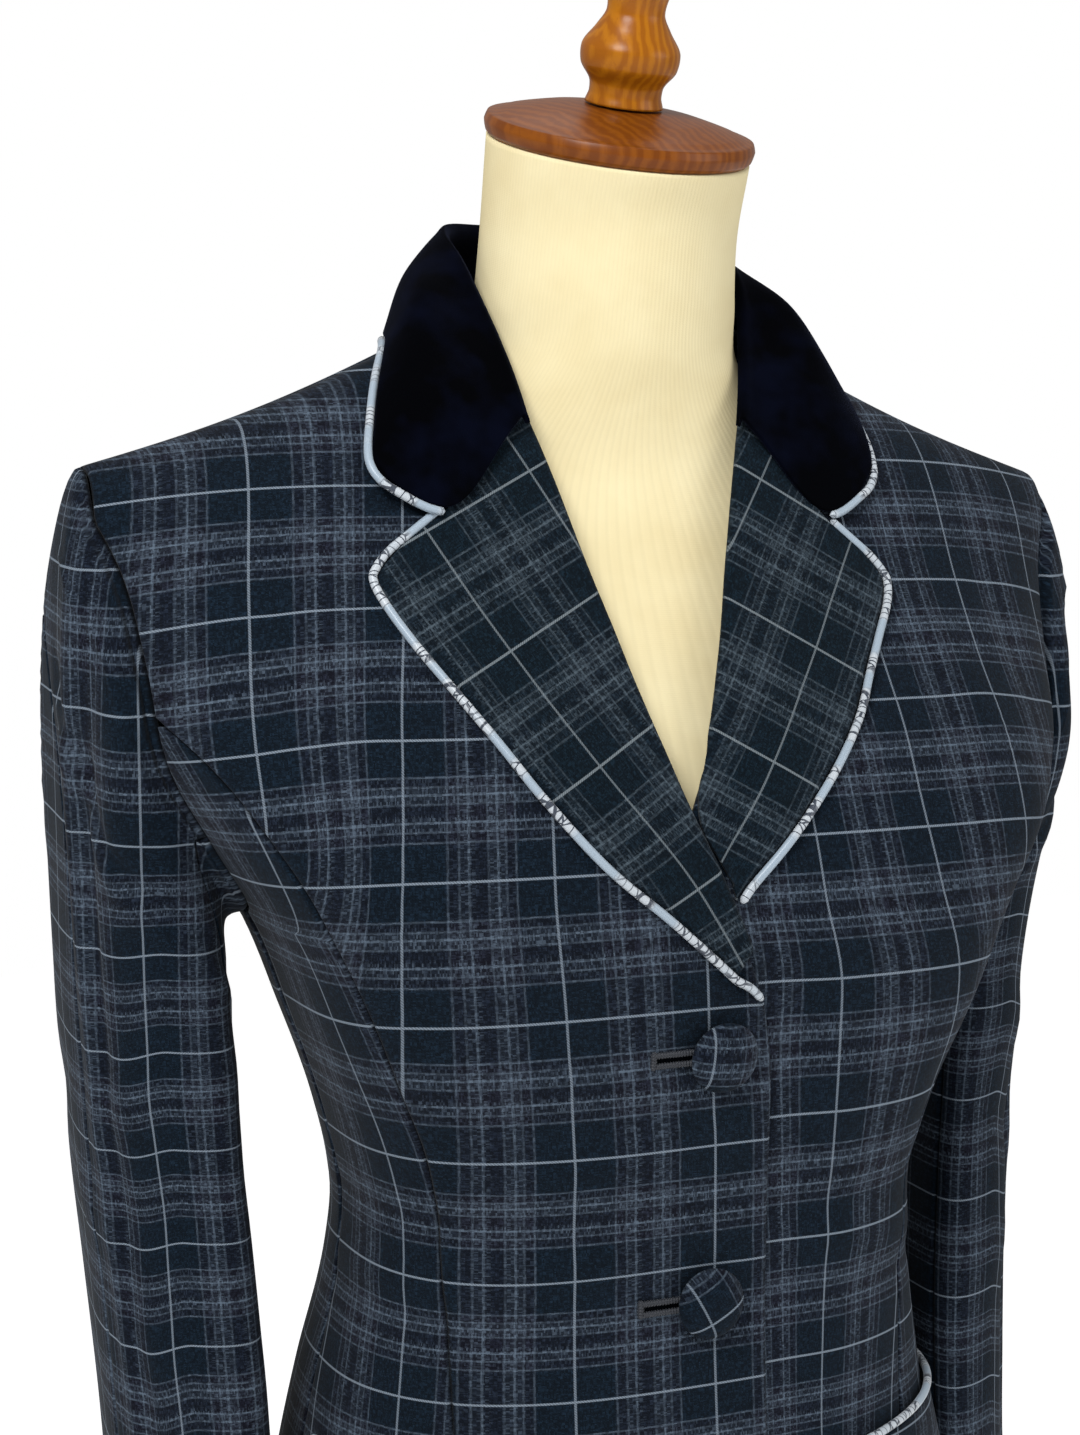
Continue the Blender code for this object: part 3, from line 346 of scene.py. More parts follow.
# %% A small kit for node materials
class Look:
    """A material under construction: `add` makes a node and wires it."""

    def __init__(self, name):
        self.material = bpy.data.materials.new(name)
        self.material.use_nodes = True
        self.tree = self.material.node_tree
        self.shader = self.tree.nodes["Principled BSDF"]

    def wire(self, value, socket):
        if isinstance(value, bpy.types.NodeSocket):
            self.tree.links.new(value, socket)
        elif value is not None:
            socket.default_value = value

    def add(self, kind, *inputs, out=0, **settings):
        node = self.tree.nodes.new("ShaderNode" + kind)
        for key, value in settings.items():
            setattr(node, key, value)
        for socket, value in zip(node.inputs, inputs):
            self.wire(value, socket)
        return node.outputs[out]

    def math(self, operation, *inputs):
        return self.add("Math", *inputs, operation=operation)

    def mix(self, share, a, b):
        node = self.tree.nodes.new("ShaderNodeMix")
        node.data_type = "RGBA"
        for socket, value in ((node.inputs[0], share), (node.inputs[6], a), (node.inputs[7], b)):
            self.wire(value, socket)
        return node.outputs[2]

    def parts(self, vector):
        """The first two numbers of a vector."""
        return [self.add("SeparateXYZ", vector, out=number) for number in (0, 1)]

    def noise(self, vector, scale, detail=2.0, roughness=0.5):
        return self.add("TexNoise", vector, None, scale, detail, roughness)

    def stops(self, value, *stops, interpolation="LINEAR"):
        """A colour ramp from (place, brightness or colour) pairs."""
        node = self.tree.nodes.new("ShaderNodeValToRGB")
        node.color_ramp.interpolation = interpolation
        ramp_stops = node.color_ramp.elements
        for number, (place, colour) in enumerate(stops):
            stop = ramp_stops[number] if number < 2 else ramp_stops.new(place)
            stop.position = place
            colour = (colour,) * 3 if isinstance(colour, (int, float)) else colour
            stop.color = (*colour, 1)
        self.wire(value, node.inputs[0])
        return node.outputs[0]

    def bump(self, height, distance, strength=1.0):
        normal = self.add("Bump", strength, distance, None, height)
        self.wire(normal, self.shader.inputs["Normal"])

    def finish(self, **values):
        for key, value in values.items():
            self.wire(value, self.shader.inputs[key.replace("_", " ")])
        return self.material


def rgb(*values):
    return (*values, 1.0)


# %% Measures of the check
REPEAT = 0.050           # one check repeat of cloth, in metres
THREAD = 0.00042         # width of one thread
GRAINS = ((THREAD, 3.2 * THREAD), (2.9 * THREAD, 1.1 * THREAD))  # cells of threads and of ticks
PANE_WIDTH = 0.0016      # the unit of PANE_STOPS, from the middle of a thin pale line
PANE_STOPS = ((0.0, 1.0), (0.20, 1.0), (0.34, 0.0))
WARP_SHARE = 0.75        # threads along the cloth show by this much of those across it
BAND_EDGE = 0.006        # over this share of a repeat, a single thread of a band fades
BAND_THREADS = (         # from, to and strength, and the strength of the ground before and after
    (0.256, 0.264, 0.75, 0.00, 0.00), (0.324, 0.332, 0.60, 0.00, 0.10),
    (0.378, 0.388, 1.00, 0.10, 0.10), (0.444, 0.452, 0.60, 0.10, 0.00),
    (0.572, 0.582, 1.00, 0.00, 0.05), (0.638, 0.646, 0.65, 0.05, 0.00),
    (0.712, 0.720, 0.70, 0.00, 0.00))
LINE_STOPS = [stop for low, high, strength, before, after in BAND_THREADS
              for stop in ((low - BAND_EDGE, before), (low, strength),
                           (high, strength), (high + BAND_EDGE, after))]
DENSE_STOPS = (
    (0.0, 0.0), (0.25, 0.0), (0.27, 0.22), (0.32, 0.28), (0.35, 0.55), (0.44, 0.62), (0.46, 0.10),
    (0.52, 0.08), (0.55, 0.60), (0.63, 0.50), (0.66, 0.20), (0.72, 0.16), (0.74, 0.0))
MIDDLE_STOPS = ((0.24, 0.0), (0.28, 0.5), (0.70, 0.5), (0.74, 0.0))
BAND_SHARE = 0.42        # how much of the pale thread shows where a band is densest
# painted shade: near a seam the cloth's colour is mixed towards this near black, for the shade that
# falls in the seam's groove
SEAM_SHADE_COLOUR, SEAM_SHADE_SHARE = rgb(0.0004, 0.0006, 0.0010), 0.78
print("threads in a repeat: %.0f, single ones in a band: %d" % (REPEAT / THREAD, len(BAND_THREADS)))


# %% The checked wool
def one_way(look, own, other, share):
    """Thin line, band, ground and grain of the threads that cross `own`. A
    band is a few single threads, broken along their length, and between them
    short ticks where the other threads cross: line * (0.62 + 1.7 chance^2) +
    dense * 1.9 chance^4, with a chance for each small cell of the weave."""
    inside = look.math("FRACT", own)
    gap = look.math("MULTIPLY", look.math("PINGPONG", own, 0.5), REPEAT)
    pane_line = look.stops(look.math("DIVIDE", gap, PANE_WIDTH), *PANE_STOPS)
    pane = look.math("MULTIPLY", pane_line, share)
    chances = []
    for wide, long in GRAINS:
        cell = [look.math("FLOOR", look.math("MULTIPLY", value, REPEAT / size))
                for value, size in ((own, wide), (other, long))]
        cell = look.add("CombineXYZ", *cell, 0.0)
        chances.append(look.add("TexWhiteNoise", cell, noise_dimensions="2D"))
    broken = look.math("MULTIPLY_ADD", look.math("POWER", chances[0], 2.0), 1.7, 0.62)
    ticks = look.math("MULTIPLY", look.math("POWER", chances[1], 4.0), 1.9)
    lines = look.stops(inside, (0.0, 0.0), *LINE_STOPS, (1.0, 0.0))
    threads = look.math("MULTIPLY", lines, broken)
    band = look.math("MULTIPLY_ADD", look.stops(inside, *DENSE_STOPS), ticks, threads)
    return (pane, look.math("MULTIPLY", band, share), look.stops(inside, *MIDDLE_STOPS),
            chances[1])


def checked_wool(name, ground, plum, pane, speckle, turned=()):
    """Twill with a windowpane. A thin pale line sits at each whole repeat and
    a band of threads in the middle of each, across the cloth and along it.
    `turned` may hold the place, turn and scale at which a piece is cut."""
    look = Look(name)
    place = look.add("UVMap", uv_map="cloth")
    if turned:
        place = look.add("Mapping", place, *turned)
    u, v = look.parts(place)
    panes, bands, middles, grains = zip(one_way(look, u, v, WARP_SHARE), one_way(look, v, u, 1.0))
    slant = look.math("MULTIPLY", look.math("ADD", u, v), REPEAT / (2.4 * THREAD))
    twill = look.math("PINGPONG", slant, 0.5)
    fuzz = look.noise(place, 260.0, 3.0, 0.7)
    base = look.mix(look.math("ADD", *middles), ground, plum)
    mottled = look.math("MULTIPLY_ADD", look.math("MULTIPLY", *grains), 1.7, 0.45)
    shade = look.math("MULTIPLY_ADD", twill, 0.5, mottled)
    base = look.add("HueSaturation", 0.5, 1.0, shade, 1.0, base)
    banded = look.math("MULTIPLY", look.math("ADD", *bands), BAND_SHARE)
    colour = look.mix(look.math("MINIMUM", banded, 1.0), base, speckle)
    ribbed = look.math("MULTIPLY_ADD", twill, 1.3, 0.40)
    worn = look.math("MULTIPLY", look.math("MAXIMUM", *panes), ribbed)
    colour = look.mix(look.math("MINIMUM", worn, 1.0), colour, pane)
    # painted shade: the seam attribute mixes the colour towards near black along every seam
    painted_seam_shade = look.add("Attribute", out=2, attribute_name="seam")
    colour = look.mix(look.math("MULTIPLY", painted_seam_shade, SEAM_SHADE_SHARE), colour, SEAM_SHADE_COLOUR)
    height = look.math("MULTIPLY_ADD", twill, 0.5, look.math("MULTIPLY_ADD", fuzz, 0.5, worn))
    look.bump(height, 0.00025, 0.5)
    return look.finish(Base_Color=colour, Roughness=0.88, Sheen_Weight=0.03,
                       Sheen_Roughness=0.5, Specular_IOR_Level=0.06)


# %% Two cloths
WOOL_COLOURS = (         # ground, ground in the bands, thin lines and bands
    rgb(0.0034, 0.0078, 0.0142), rgb(0.0056, 0.0064, 0.0128),
    rgb(0.200, 0.243, 0.295), rgb(0.083, 0.112, 0.150))
FACING_COLOURS = (
    rgb(0.0028, 0.0074, 0.0124), rgb(0.0034, 0.0072, 0.0124),
    rgb(0.17, 0.20, 0.22), rgb(0.062, 0.084, 0.104))
WOOL = checked_wool("checked_wool", *WOOL_COLOURS)
FACING = checked_wool("facing_wool", *FACING_COLOURS)
print("cloth finishes:", WOOL.name, FACING.name)

# %% [markdown]
# ## Velvet, satin, knit and wood
# Velvet is dark face on and pale at its edges, because light catches the
# standing pile: the sheen layer does that, and patches where light catches
# brushed nap are painted bluer, a painted sheen. Satin is a smooth ribbon with a small woven scribble
# in stretches.
# The form wears a fine ribbed knit, and its cap and finial are stained wood.

# %% Velvet and satin
def velvet():
    look = Look("navy_velvet")
    place = look.add("TexCoord", out=3)
    # painted sheen: patches where light catches the brushed nap are painted bluer
    painted_nap_sheen = look.stops(look.noise(place, 28.0, 3.0, 0.6), (0.50, 0.0), (0.68, 1.0))
    pile = look.noise(place, 2600.0, 2.0, 0.6)
    colour = look.mix(painted_nap_sheen, rgb(0.0004, 0.0005, 0.0010), rgb(0.0012, 0.0018, 0.0060))
    look.bump(pile, 0.0004, 0.5)
    return look.finish(Base_Color=colour, Roughness=0.95, Specular_IOR_Level=0.02,
                       Sheen_Weight=0.10, Sheen_Roughness=0.35, Sheen_Tint=rgb(0.12, 0.15, 0.30))


def satin():
    look = Look("silver_satin")
    place = look.add("UVMap", uv_map="cloth")
    along = look.parts(place)[1]
    ribs = look.math("PINGPONG", look.math("MULTIPLY", along, 2200.0), 0.5)
    stretched = look.add("Mapping", place, None, None, (150.0, 380.0, 1.0))
    lines = look.add("TexVoronoi", stretched, None, 1.0, feature="DISTANCE_TO_EDGE")
    scribble = look.stops(lines, (0.0, 1.0), (0.055, 1.0), (0.085, 0.0))
    patchy = look.noise(look.add("CombineXYZ", along, 0.0, 0.0), 36.0, 1.0)
    stretches = look.stops(patchy, (0.47, 0.0), (0.51, 1.0))
    mark = look.math("MULTIPLY", scribble, stretches)
    silver = look.mix(stretches, rgb(0.29, 0.36, 0.43), rgb(0.44, 0.48, 0.52))
    colour = look.mix(mark, silver, rgb(0.035, 0.045, 0.065))
    height = look.math("ADD", look.math("MULTIPLY", ribs, 0.3), look.math("MULTIPLY", mark, -0.7))
    look.bump(height, 0.0002, 0.5)
    return look.finish(Base_Color=colour, Roughness=0.36, Anisotropic=0.4, Sheen_Weight=0.15)


VELVET, SATIN = velvet(), satin()
print("collar and piping finishes:", VELVET.name, SATIN.name)

# %% Knit and wood
RIB_WIDTH, STITCH_LENGTH = 0.0017, 0.0009


def knit():
    """Ribs and stitches are sine waves, one across the cloth and one along it."""
    look = Look("cream_knit")
    place = look.add("UVMap", uv_map="cloth")
    across, along = look.parts(place)
    rib = look.math("SINE", look.math("MULTIPLY", across, 2 * pi / RIB_WIDTH))
    stitch = look.math("SINE", look.math("MULTIPLY", along, 2 * pi / STITCH_LENGTH))
    fibres = look.noise(place, 900.0, 3.0, 0.7)
    cloudy = look.noise(look.add("TexCoord", out=3), 22.0, 3.0, 0.6)
    patches = look.stops(cloudy, (0.35, 0.0), (0.68, 1.0))
    colour = look.mix(patches, rgb(0.70, 0.60, 0.355), rgb(0.76, 0.67, 0.42))
    # painted shade: the colour darkens a little in the grooves between the ribs
    painted_groove_shade = look.stops(look.math("MULTIPLY_ADD", rib, 0.5, 0.5), (0.0, 0.965), (0.5, 1.0))
    colour = look.add("HueSaturation", 0.5, 1.0, painted_groove_shade, 1.0, colour)
    loops = look.math("ADD", look.math("MULTIPLY", stitch, 0.15), fibres)
    look.bump(look.math("ADD", look.math("MULTIPLY", rib, 0.5), loops), 0.00012, 0.5)
    return look.finish(Base_Color=colour, Roughness=0.95, Specular_IOR_Level=0.10)


def wood(name, light, dark, ring_size, polish):
    """Rings of a trunk that the piece is turned from: distance from a tilted
    axis, bent by noise, repeats light and dark."""
    look = Look(name)
    place = look.add("TexCoord", out=3)
    turned = look.add("Mapping", place, (0.31, 0.17, 0.0), (0.10, 0.22, 0.0), (1.0, 1.0, 0.16))
    rings = look.add("TexWave", turned, 1.0 / ring_size, 5.0, 3.0, 2.0,
                     wave_type="RINGS", rings_direction="Z")
    stretched = look.add("Mapping", place, None, None, (900.0, 900.0, 50.0))
    pores = look.noise(stretched, 1.0, 2.0)
    colour = look.mix(look.stops(rings, (0.2, 0.0), (0.9, 1.0)), dark, light)
    colour = look.mix(look.stops(pores, (0.30, 0.5), (0.42, 0.0)), colour, dark)
    look.bump(pores, 0.0002, 0.15)
    return look.finish(Base_Color=colour, Roughness=polish, Specular_IOR_Level=0.15,
                       Coat_Weight=0.08, Coat_Roughness=0.25)


KNIT = knit()
CAP_WOOD = wood("stained_wood", rgb(0.20, 0.055, 0.0035), rgb(0.145, 0.036, 0.0025), 0.016, 0.34)
FINIAL_WOOD = wood("amber_wood", rgb(0.36, 0.125, 0.004), rgb(0.27, 0.082, 0.003), 0.012, 0.30)
STAND_WOOD = wood("stand_wood", rgb(0.28, 0.090, 0.012), rgb(0.18, 0.050, 0.006), 0.020, 0.34)
print("form finishes:", KNIT.name, CAP_WOOD.name, FINIAL_WOOD.name, STAND_WOOD.name)

# %% [markdown]
# ## The cut
# The lines of the cut are read from tables: the front edges, the princess
# seams and the armhole. Each row of a panel runs round the body from one
# line to the next. The rows are level up to the underarm and then tilt with
# the shoulder seam.

# %% Lines of the cut
RIGHT_EDGE = table(
    "z       x",
    (-0.42, -0.004), (-0.33, 0.012), (-0.20, 0.023), (-0.08, 0.026), (0.06, 0.025), (0.10, 0.022),
    (0.118, 0.018), (0.154, 0.002), (0.198, -0.018), (0.230, -0.027), (0.262, -0.033),
    (0.310, -0.043), (0.342, -0.051), (0.386, -0.064))
LEFT_EDGE = table(
    "z       x",
    (-0.42, 0.004), (-0.33, -0.010), (-0.20, -0.018), (-0.08, -0.020), (0.12, -0.020),
    (0.17, -0.019), (0.198, -0.009), (0.212, -0.002), (0.239, 0.010), (0.279, 0.026),
    (0.310, 0.036), (0.342, 0.046), (0.386, 0.064))
PRINCESS_FRONT = table(
    "z       x",
    (-0.42, 0.116), (-0.20, 0.100), (-0.05, 0.099), (0.024, 0.103), (0.048, 0.106),
    (0.066, 0.111), (0.092, 0.122), (0.116, 0.132), (0.144, 0.1445), (0.168, 0.157),
    (0.191, 0.171), (0.215, 0.187), (0.230, armhole_x(0.230, True)))
PRINCESS_BACK = table(
    "z       x",
    (-0.42, 0.096), (-0.20, 0.078), (0.02, 0.062), (0.10, 0.075), (0.17, 0.108), (0.210, 0.150),
    (0.231, armhole_x(0.231, False)))

# %% Rows of a panel
TOP_ROW, BACK_NECK_ROW = 0.360, 0.348
LOWER_ROWS = (HEM, -0.33, -0.24, -0.16, -0.09, -0.04, 0.0, 0.035, 0.07, 0.10, 0.128, UNDERARM)
SIDE_ROWS = LOWER_ROWS + (0.154, 0.163, 0.177, 0.194, 0.212, 0.228, 0.2395)
FRONT_ROWS = SIDE_ROWS + (0.248, 0.268, 0.292, 0.314, 0.332, 0.345, 0.353, 0.3572, 0.3592, TOP_ROW)
HEM_ROWS = (HEM, -0.4194, -0.4184, -0.4165, -0.413)
ROW_STEP = 0.0055        # rows of points are at most this far apart


def refined(rows):
    """Every interval of the rows cut into equal steps of at most ROW_STEP, and
    extra rows just above the hem, where the edge is rounded."""
    steps = [np.linspace(a, b, max(int(np.ceil((b - a) / ROW_STEP)), 2) + 1)[:-1]
             for a, b in zip(rows, rows[1:])]
    return np.unique(np.round(np.concatenate([HEM_ROWS, *steps, rows[-1:]]), 6))


def row_height(row, x):
    """Height of a row at x: level up to the underarm, then tilting."""
    part = np.maximum(row - UNDERARM, 0) / (TOP_ROW - UNDERARM)
    return np.where(row <= UNDERARM, row, UNDERARM + (shoulder_z(x) - UNDERARM) * part)


print("rows of points from hem to shoulder:", len(refined(FRONT_ROWS)))


# %% Where a row meets a line
def meets(edge, rows):
    """The x at which each row meets a line x(z), by repeated substitution."""
    x = np.full(rows.shape, 0.1)
    for _ in range(40):
        x = 0.5 * (x + edge(row_height(rows, x)))
    return x


def line(rows, sign=1):
    return lambda z: sign * through(rows, "z", "x", z)


def up_to_armhole(rows, front):
    """A seam that runs up into the armhole and then along it."""
    top = rows["z"][-1]
    seam = line(rows)
    return lambda z: np.where(z < top, seam(z), armhole_x(np.maximum(z, top), front))


def side_outer(front):
    """The side seam, and above the underarm the armhole."""
    def x_at(z):
        above = armhole_x(np.maximum(z, UNDERARM), front)
        return np.where(z <= UNDERARM, body("half_width", z), above)
    return x_at


# %% [markdown]
# ## Creases
# Cloth is never quite flat: a seam sinks between its two edges, a button
# pulls short creases towards itself, and the waist puckers. Each crease is a
# long soft hill, a bell curve in two directions, and all are added up.

# %% Hills
def hills(x, z, rows):
    """Sum of hills: each is `high` times a bell curve of length `long` along
    its direction `turn` and of width `wide` across it."""
    total = np.zeros(np.broadcast(x, z).shape)
    for k in range(len(rows["x"])):
        turn = radians(rows["turn"][k])
        right, up = x - rows["x"][k], z - rows["z"][k]
        along = (right * np.cos(turn) + up * np.sin(turn)) / rows["long"][k]
        across = (up * np.cos(turn) - right * np.sin(turn)) / rows["wide"][k]
        total += rows["high"][k] * np.exp(-along ** 2 - across ** 2)
    return total


# %% Where the creases are
FRONT_CREASES = table(   # on the wearer's right; the left side takes those with left = 1, mirrored
    "x       z      turn  long   wide    high    left",
    (0.000,   0.100,   0, 0.017, 0.0170, -0.0009, 0),
    (0.000,   0.000,   0, 0.017, 0.0170, -0.0009, 0),
    (0.000,  -0.100,   0, 0.017, 0.0170, -0.0009, 0),
    (0.012,   0.112,  52, 0.016, 0.0028,  0.0007, 0),
    (0.010,   0.010,  30, 0.018, 0.0030,  0.0006, 0),
    (-0.030,  0.090,  -8, 0.045, 0.0060,  0.0016, 0),
    (-0.045,  0.060,  10, 0.050, 0.0070,  0.0012, 0),
    (0.060,   0.070,  14, 0.040, 0.0060,  0.0012, 0),
    (-0.080,  0.035,  -4, 0.050, 0.0080, -0.0012, 1),
    (-0.075,  0.015,   6, 0.045, 0.0070,  0.0012, 1),
    (-0.100, -0.005, -10, 0.035, 0.0070, -0.0010, 1),
    (-0.130,  0.235,  62, 0.050, 0.0100,  0.0012, 1),
    (-0.165,  0.245,  74, 0.045, 0.0080, -0.0012, 1),
    (-0.070, -0.250,  86, 0.120, 0.0200,  0.0030, 1),
    (-0.110, -0.300,  94, 0.110, 0.0180, -0.0030, 1),
    (-0.030, -0.330,  88, 0.090, 0.0200, -0.0020, 1),
)
BACK_CREASES = table(
    "x       z      turn  long   wide    high    left",
    (-0.050,  0.035,  -5, 0.050, 0.0080,  0.0014, 1),
    (-0.045,  0.012,   7, 0.045, 0.0070, -0.0012, 1),
    (-0.100,  0.210,  58, 0.060, 0.0110,  0.0014, 1),
    (-0.060, -0.260,  88, 0.130, 0.0220,  0.0035, 1),
    (-0.120, -0.280,  92, 0.120, 0.0220, -0.0030, 1),
    (-0.020,  0.300,   4, 0.040, 0.0100,  0.0010, 1),
)


def creases(rows, x, z, side):
    """Height of the creases at x, z on the wearer's right (-1) or left (+1)."""
    if side < 0:
        return hills(x, z, rows)
    return hills(-x, z, {name: column[rows["left"] > 0] for name, column in rows.items()})


print("creases in front: %d, behind: %d" % (len(FRONT_CREASES["x"]), len(BACK_CREASES["x"])))


# %% Close to a seam
SEAM_DIP, DIP_WIDTH = 0.0013, 0.0009     # how far a sewn edge sinks, and how near to the seam
SHADE_WIDTH = 0.0006     # how near to a seam the cloth is in its shade
NEAR = np.array((0.0, 0.0004, 0.0009, 0.0015, 0.0026))


def spread(length, count):
    """Distances along rows of these lengths: close together near both ends."""
    near = NEAR * np.minimum(1, length / 0.03)
    inner = near[:, -1:] + (length - 2 * near[:, -1:]) * np.linspace(0, 1, count)[1:-1]
    return np.concatenate([near, inner, length - near[:, ::-1]], axis=1)


def edge_dip(distance):
    """A sewn or turned edge sinks by a bell curve of its distance."""
    return SEAM_DIP * np.exp(-(distance / DIP_WIDTH) ** 2)


def seam_shade(*distances):
    """Share of painted shade: 1 on a seam, falling to 0 by a bell curve within a millimetre."""
    bells = (np.exp(-(distance / SHADE_WIDTH) ** 2) for distance in distances)
    return np.clip(sum(bells), 0, 1)


print("1 mm from a seam the cloth is sunk by %.2f mm" % (1000 * edge_dip(0.001)))


# %% Panels
def follow(at, run, values):
    """Values along each line of points, read at the distances `at`."""
    return np.array([np.interp(*three) for three in zip(at, run, values)])


def panel(surface, rows, inner, outer, count, side, drop, wrinkles):
    """Grid, normals, x, z and the distances across each row of one panel.
    Rows run round the body from `inner` to `outer` on the wearer's left, and
    points are first taken at x = w cos(t)^(2/3), for even steps of t."""
    rows = rows[:, None]
    ends = [meets(edge, rows) if callable(edge) else edge for edge in (inner, outer)]
    widest = np.maximum(body("half_width", row_height(rows, ends[1])), ends[1])
    turn = [np.arccos(np.sign(end) * np.clip(np.abs(end) / widest, 0, 1) ** 1.5) for end in ends]
    across = np.cos(turn[0] + (turn[1] - turn[0]) * np.linspace(0, 1, 260))
    x = widest * np.sign(across) * np.abs(across) ** (2 / 3)
    x[:, :1], x[:, -1:] = ends
    z = row_height(rows, x)
    run = lengths(np.stack([x, surface(x, z), z], axis=-1), axis=1)
    at = spread(run[:, -1:], count)
    x = follow(at, run, x)
    z = row_height(rows, x)
    normals = normal_at(surface, x, z)
    lift = -edge_dip(at) - edge_dip(at[:, -1:] - at) - edge_dip(z - HEM)
    lift = lift - drop(x, z) + creases(wrinkles, side * x, z, side)
    grid = np.stack([x, surface(x, z), z], axis=-1) + normals * lift[..., None]
    return grid * (side, 1, 1), normals * (side, 1, 1), side * x, z, at


def flush(x, z):
    """This piece has nothing over it, so it lies no further in."""
    return 0.0 * x


def under_right(x, z):
    """How far the left front lies inside the right one where they overlap."""
    past = x - through(RIGHT_EDGE, "z", "x", z)
    return (CLOTH + 0.0010) * (1 - ramp(past, 0.006, 0.040))


# %% [markdown]
# ## Matching the check
# A tailor lays the pieces on the cloth so that the check runs level round
# the body. These tables say where each check line crosses a panel, and the
# numbers between two lines are found by interpolation.

# %% Where the check lines fall
RIGHT_ROWS = table(
    "z      row",
    (-0.4835, 11), (-0.4335, 10), (-0.3335, 8), (-0.1835, 5), (-0.0835, 3), (-0.0335, 2),
    (0.0142, 1), (0.063, 0), (0.1185, -1), (0.1735, -2), (0.2237, -3), (0.2712, -4), (0.3175, -5),
    (0.364, -6), (0.411, -7))
LEFT_ROWS = table(
    "z      row",
    (-0.471, 11), (-0.421, 10), (-0.321, 8), (-0.171, 5), (-0.071, 3), (-0.0296, 2), (0.0190, 1),
    (0.0705, 0), (0.126, -1), (0.1835, -2), (0.2325, -3), (0.2789, -4), (0.329, -5), (0.376, -6),
    (0.423, -7))
RIGHT_COLUMNS = table(   # x of the check lines 0 to 3 at each height
    "z      c0       c1       c2       c3",
    (-0.42,  0.0030, -0.0560, -0.1160, -0.1760),
    (-0.03,  0.0035, -0.0550, -0.1142, -0.1735),
    (0.0135, 0.0035, -0.0553, -0.1128, -0.1700),
    (0.060,  0.0010, -0.0575, -0.1159, -0.1720),
    (0.1125, -0.0055, -0.0640, -0.1236, -0.1760),
    (0.1724, -0.0110, -0.0710, -0.1274, -0.1690),
    (0.2238, -0.0080, -0.0660, -0.1212, -0.1712),
    (0.2700, -0.0010, -0.0570, -0.1111, -0.1665),
    (0.3180, 0.0050, -0.0500, -0.1028, -0.1600),
    (0.4000, 0.0100, -0.0400, -0.0900, -0.1480),
)
LEFT_COLUMNS = table(
    "z      c0       c1       c2       c3",
    (-0.42,  0.0500, 0.0900, 0.1400, 0.1900),
    (-0.07,  0.0520, 0.0908, 0.1400, 0.1850),
    (0.005,  0.0550, 0.1008, 0.1450, 0.1850),
    (0.0528, 0.0552, 0.1080, 0.1560, 0.2000),
    (0.1019, 0.0530, 0.1125, 0.1600, 0.2050),
    (0.1258, 0.0512, 0.1090, 0.1590, 0.2050),
    (0.1600, 0.0420, 0.0960, 0.1480, 0.2000),
    (0.1838, 0.0385, 0.0900, 0.1440, 0.1960),
    (0.2320, 0.0370, 0.0878, 0.1400, 0.1900),
    (0.3200, 0.0330, 0.0860, 0.1400, 0.1900),
    (0.4000, 0.0300, 0.0850, 0.1400, 0.1900),
)


print("check lines across a front:", len(RIGHT_ROWS["z"]))


# %% Row and column numbers
LEVEL_TO, HIGH_BEND, LOW_TILT = 0.120, 1.7, 0.05     # the rows are level this far from the middle


def check_row(rows, x, z):
    """Row number at x, z: read from the table at a height that first rises a
    little towards the armhole, by a parabola above and a line below."""
    out = np.maximum(np.abs(x) - LEVEL_TO, 0)
    bend = HIGH_BEND * out ** 2 * ramp(z, 0.10, 0.20) * (1 - 0.5 * ramp(z, 0.22, 0.32))
    tilt = LOW_TILT * out * (1 - ramp(z, 0.10, 0.2))
    return np.interp(z + bend + tilt, rows["z"], rows["row"])


def check_column(columns, x, z):
    """Column number at x, z: how many check lines lie between, with shares."""
    lines = [through(columns, "z", name, z) for name in ("c0", "c1", "c2", "c3")]
    total = (x - lines[0]) / (lines[1] - lines[0])
    for number, (a, b) in enumerate(zip(lines[1:], lines[2:]), start=1):
        total = np.where(total > number, number + np.maximum((x - a) / (b - a), 0), total)
    return total


# %% Pieces and what they stand for
PIECES = []              # (piece, CAD node it stands for, material slot)
SHEETS = {}              # piece name: (flat width, flat length, area)


def keep(piece, node, slot):
    PIECES.append((piece, node, slot))
    return piece


def sew(node, slot, grid, normals, uv, look, seam=None, cut=None):
    """A piece of cloth for the solid `node`. Its cut is its widest row, its
    longest column and its area, before any edge sinks where `cut` is given."""
    # `seam` holds each point's share of painted seam shade, passed on to cloth
    piece = keep(cloth(node + "_cloth", grid, normals, uv, look, seam=seam), node, slot)
    cut = grid if cut is None else cut
    width, length = lengths(cut, axis=1)[:, -1].max(), lengths(cut, axis=0)[-1].max()
    SHEETS[piece.name] = (float(width), float(length), area_of(cut))


# %% The body of the coat
SIDE_REPEAT, BACK_REPEAT, FLAT_REPEAT = 0.056, 0.054, 0.052    # width of a check as it lies


def around_uv(x, z, at, start, rows):
    """Cloth coordinates of the side panels: the distance round the body from
    the panel's middle in repeats, and the row number."""
    return np.stack([start + (at - at[:, -1:] / 2) / SIDE_REPEAT, check_row(rows, x, z)], axis=-1)


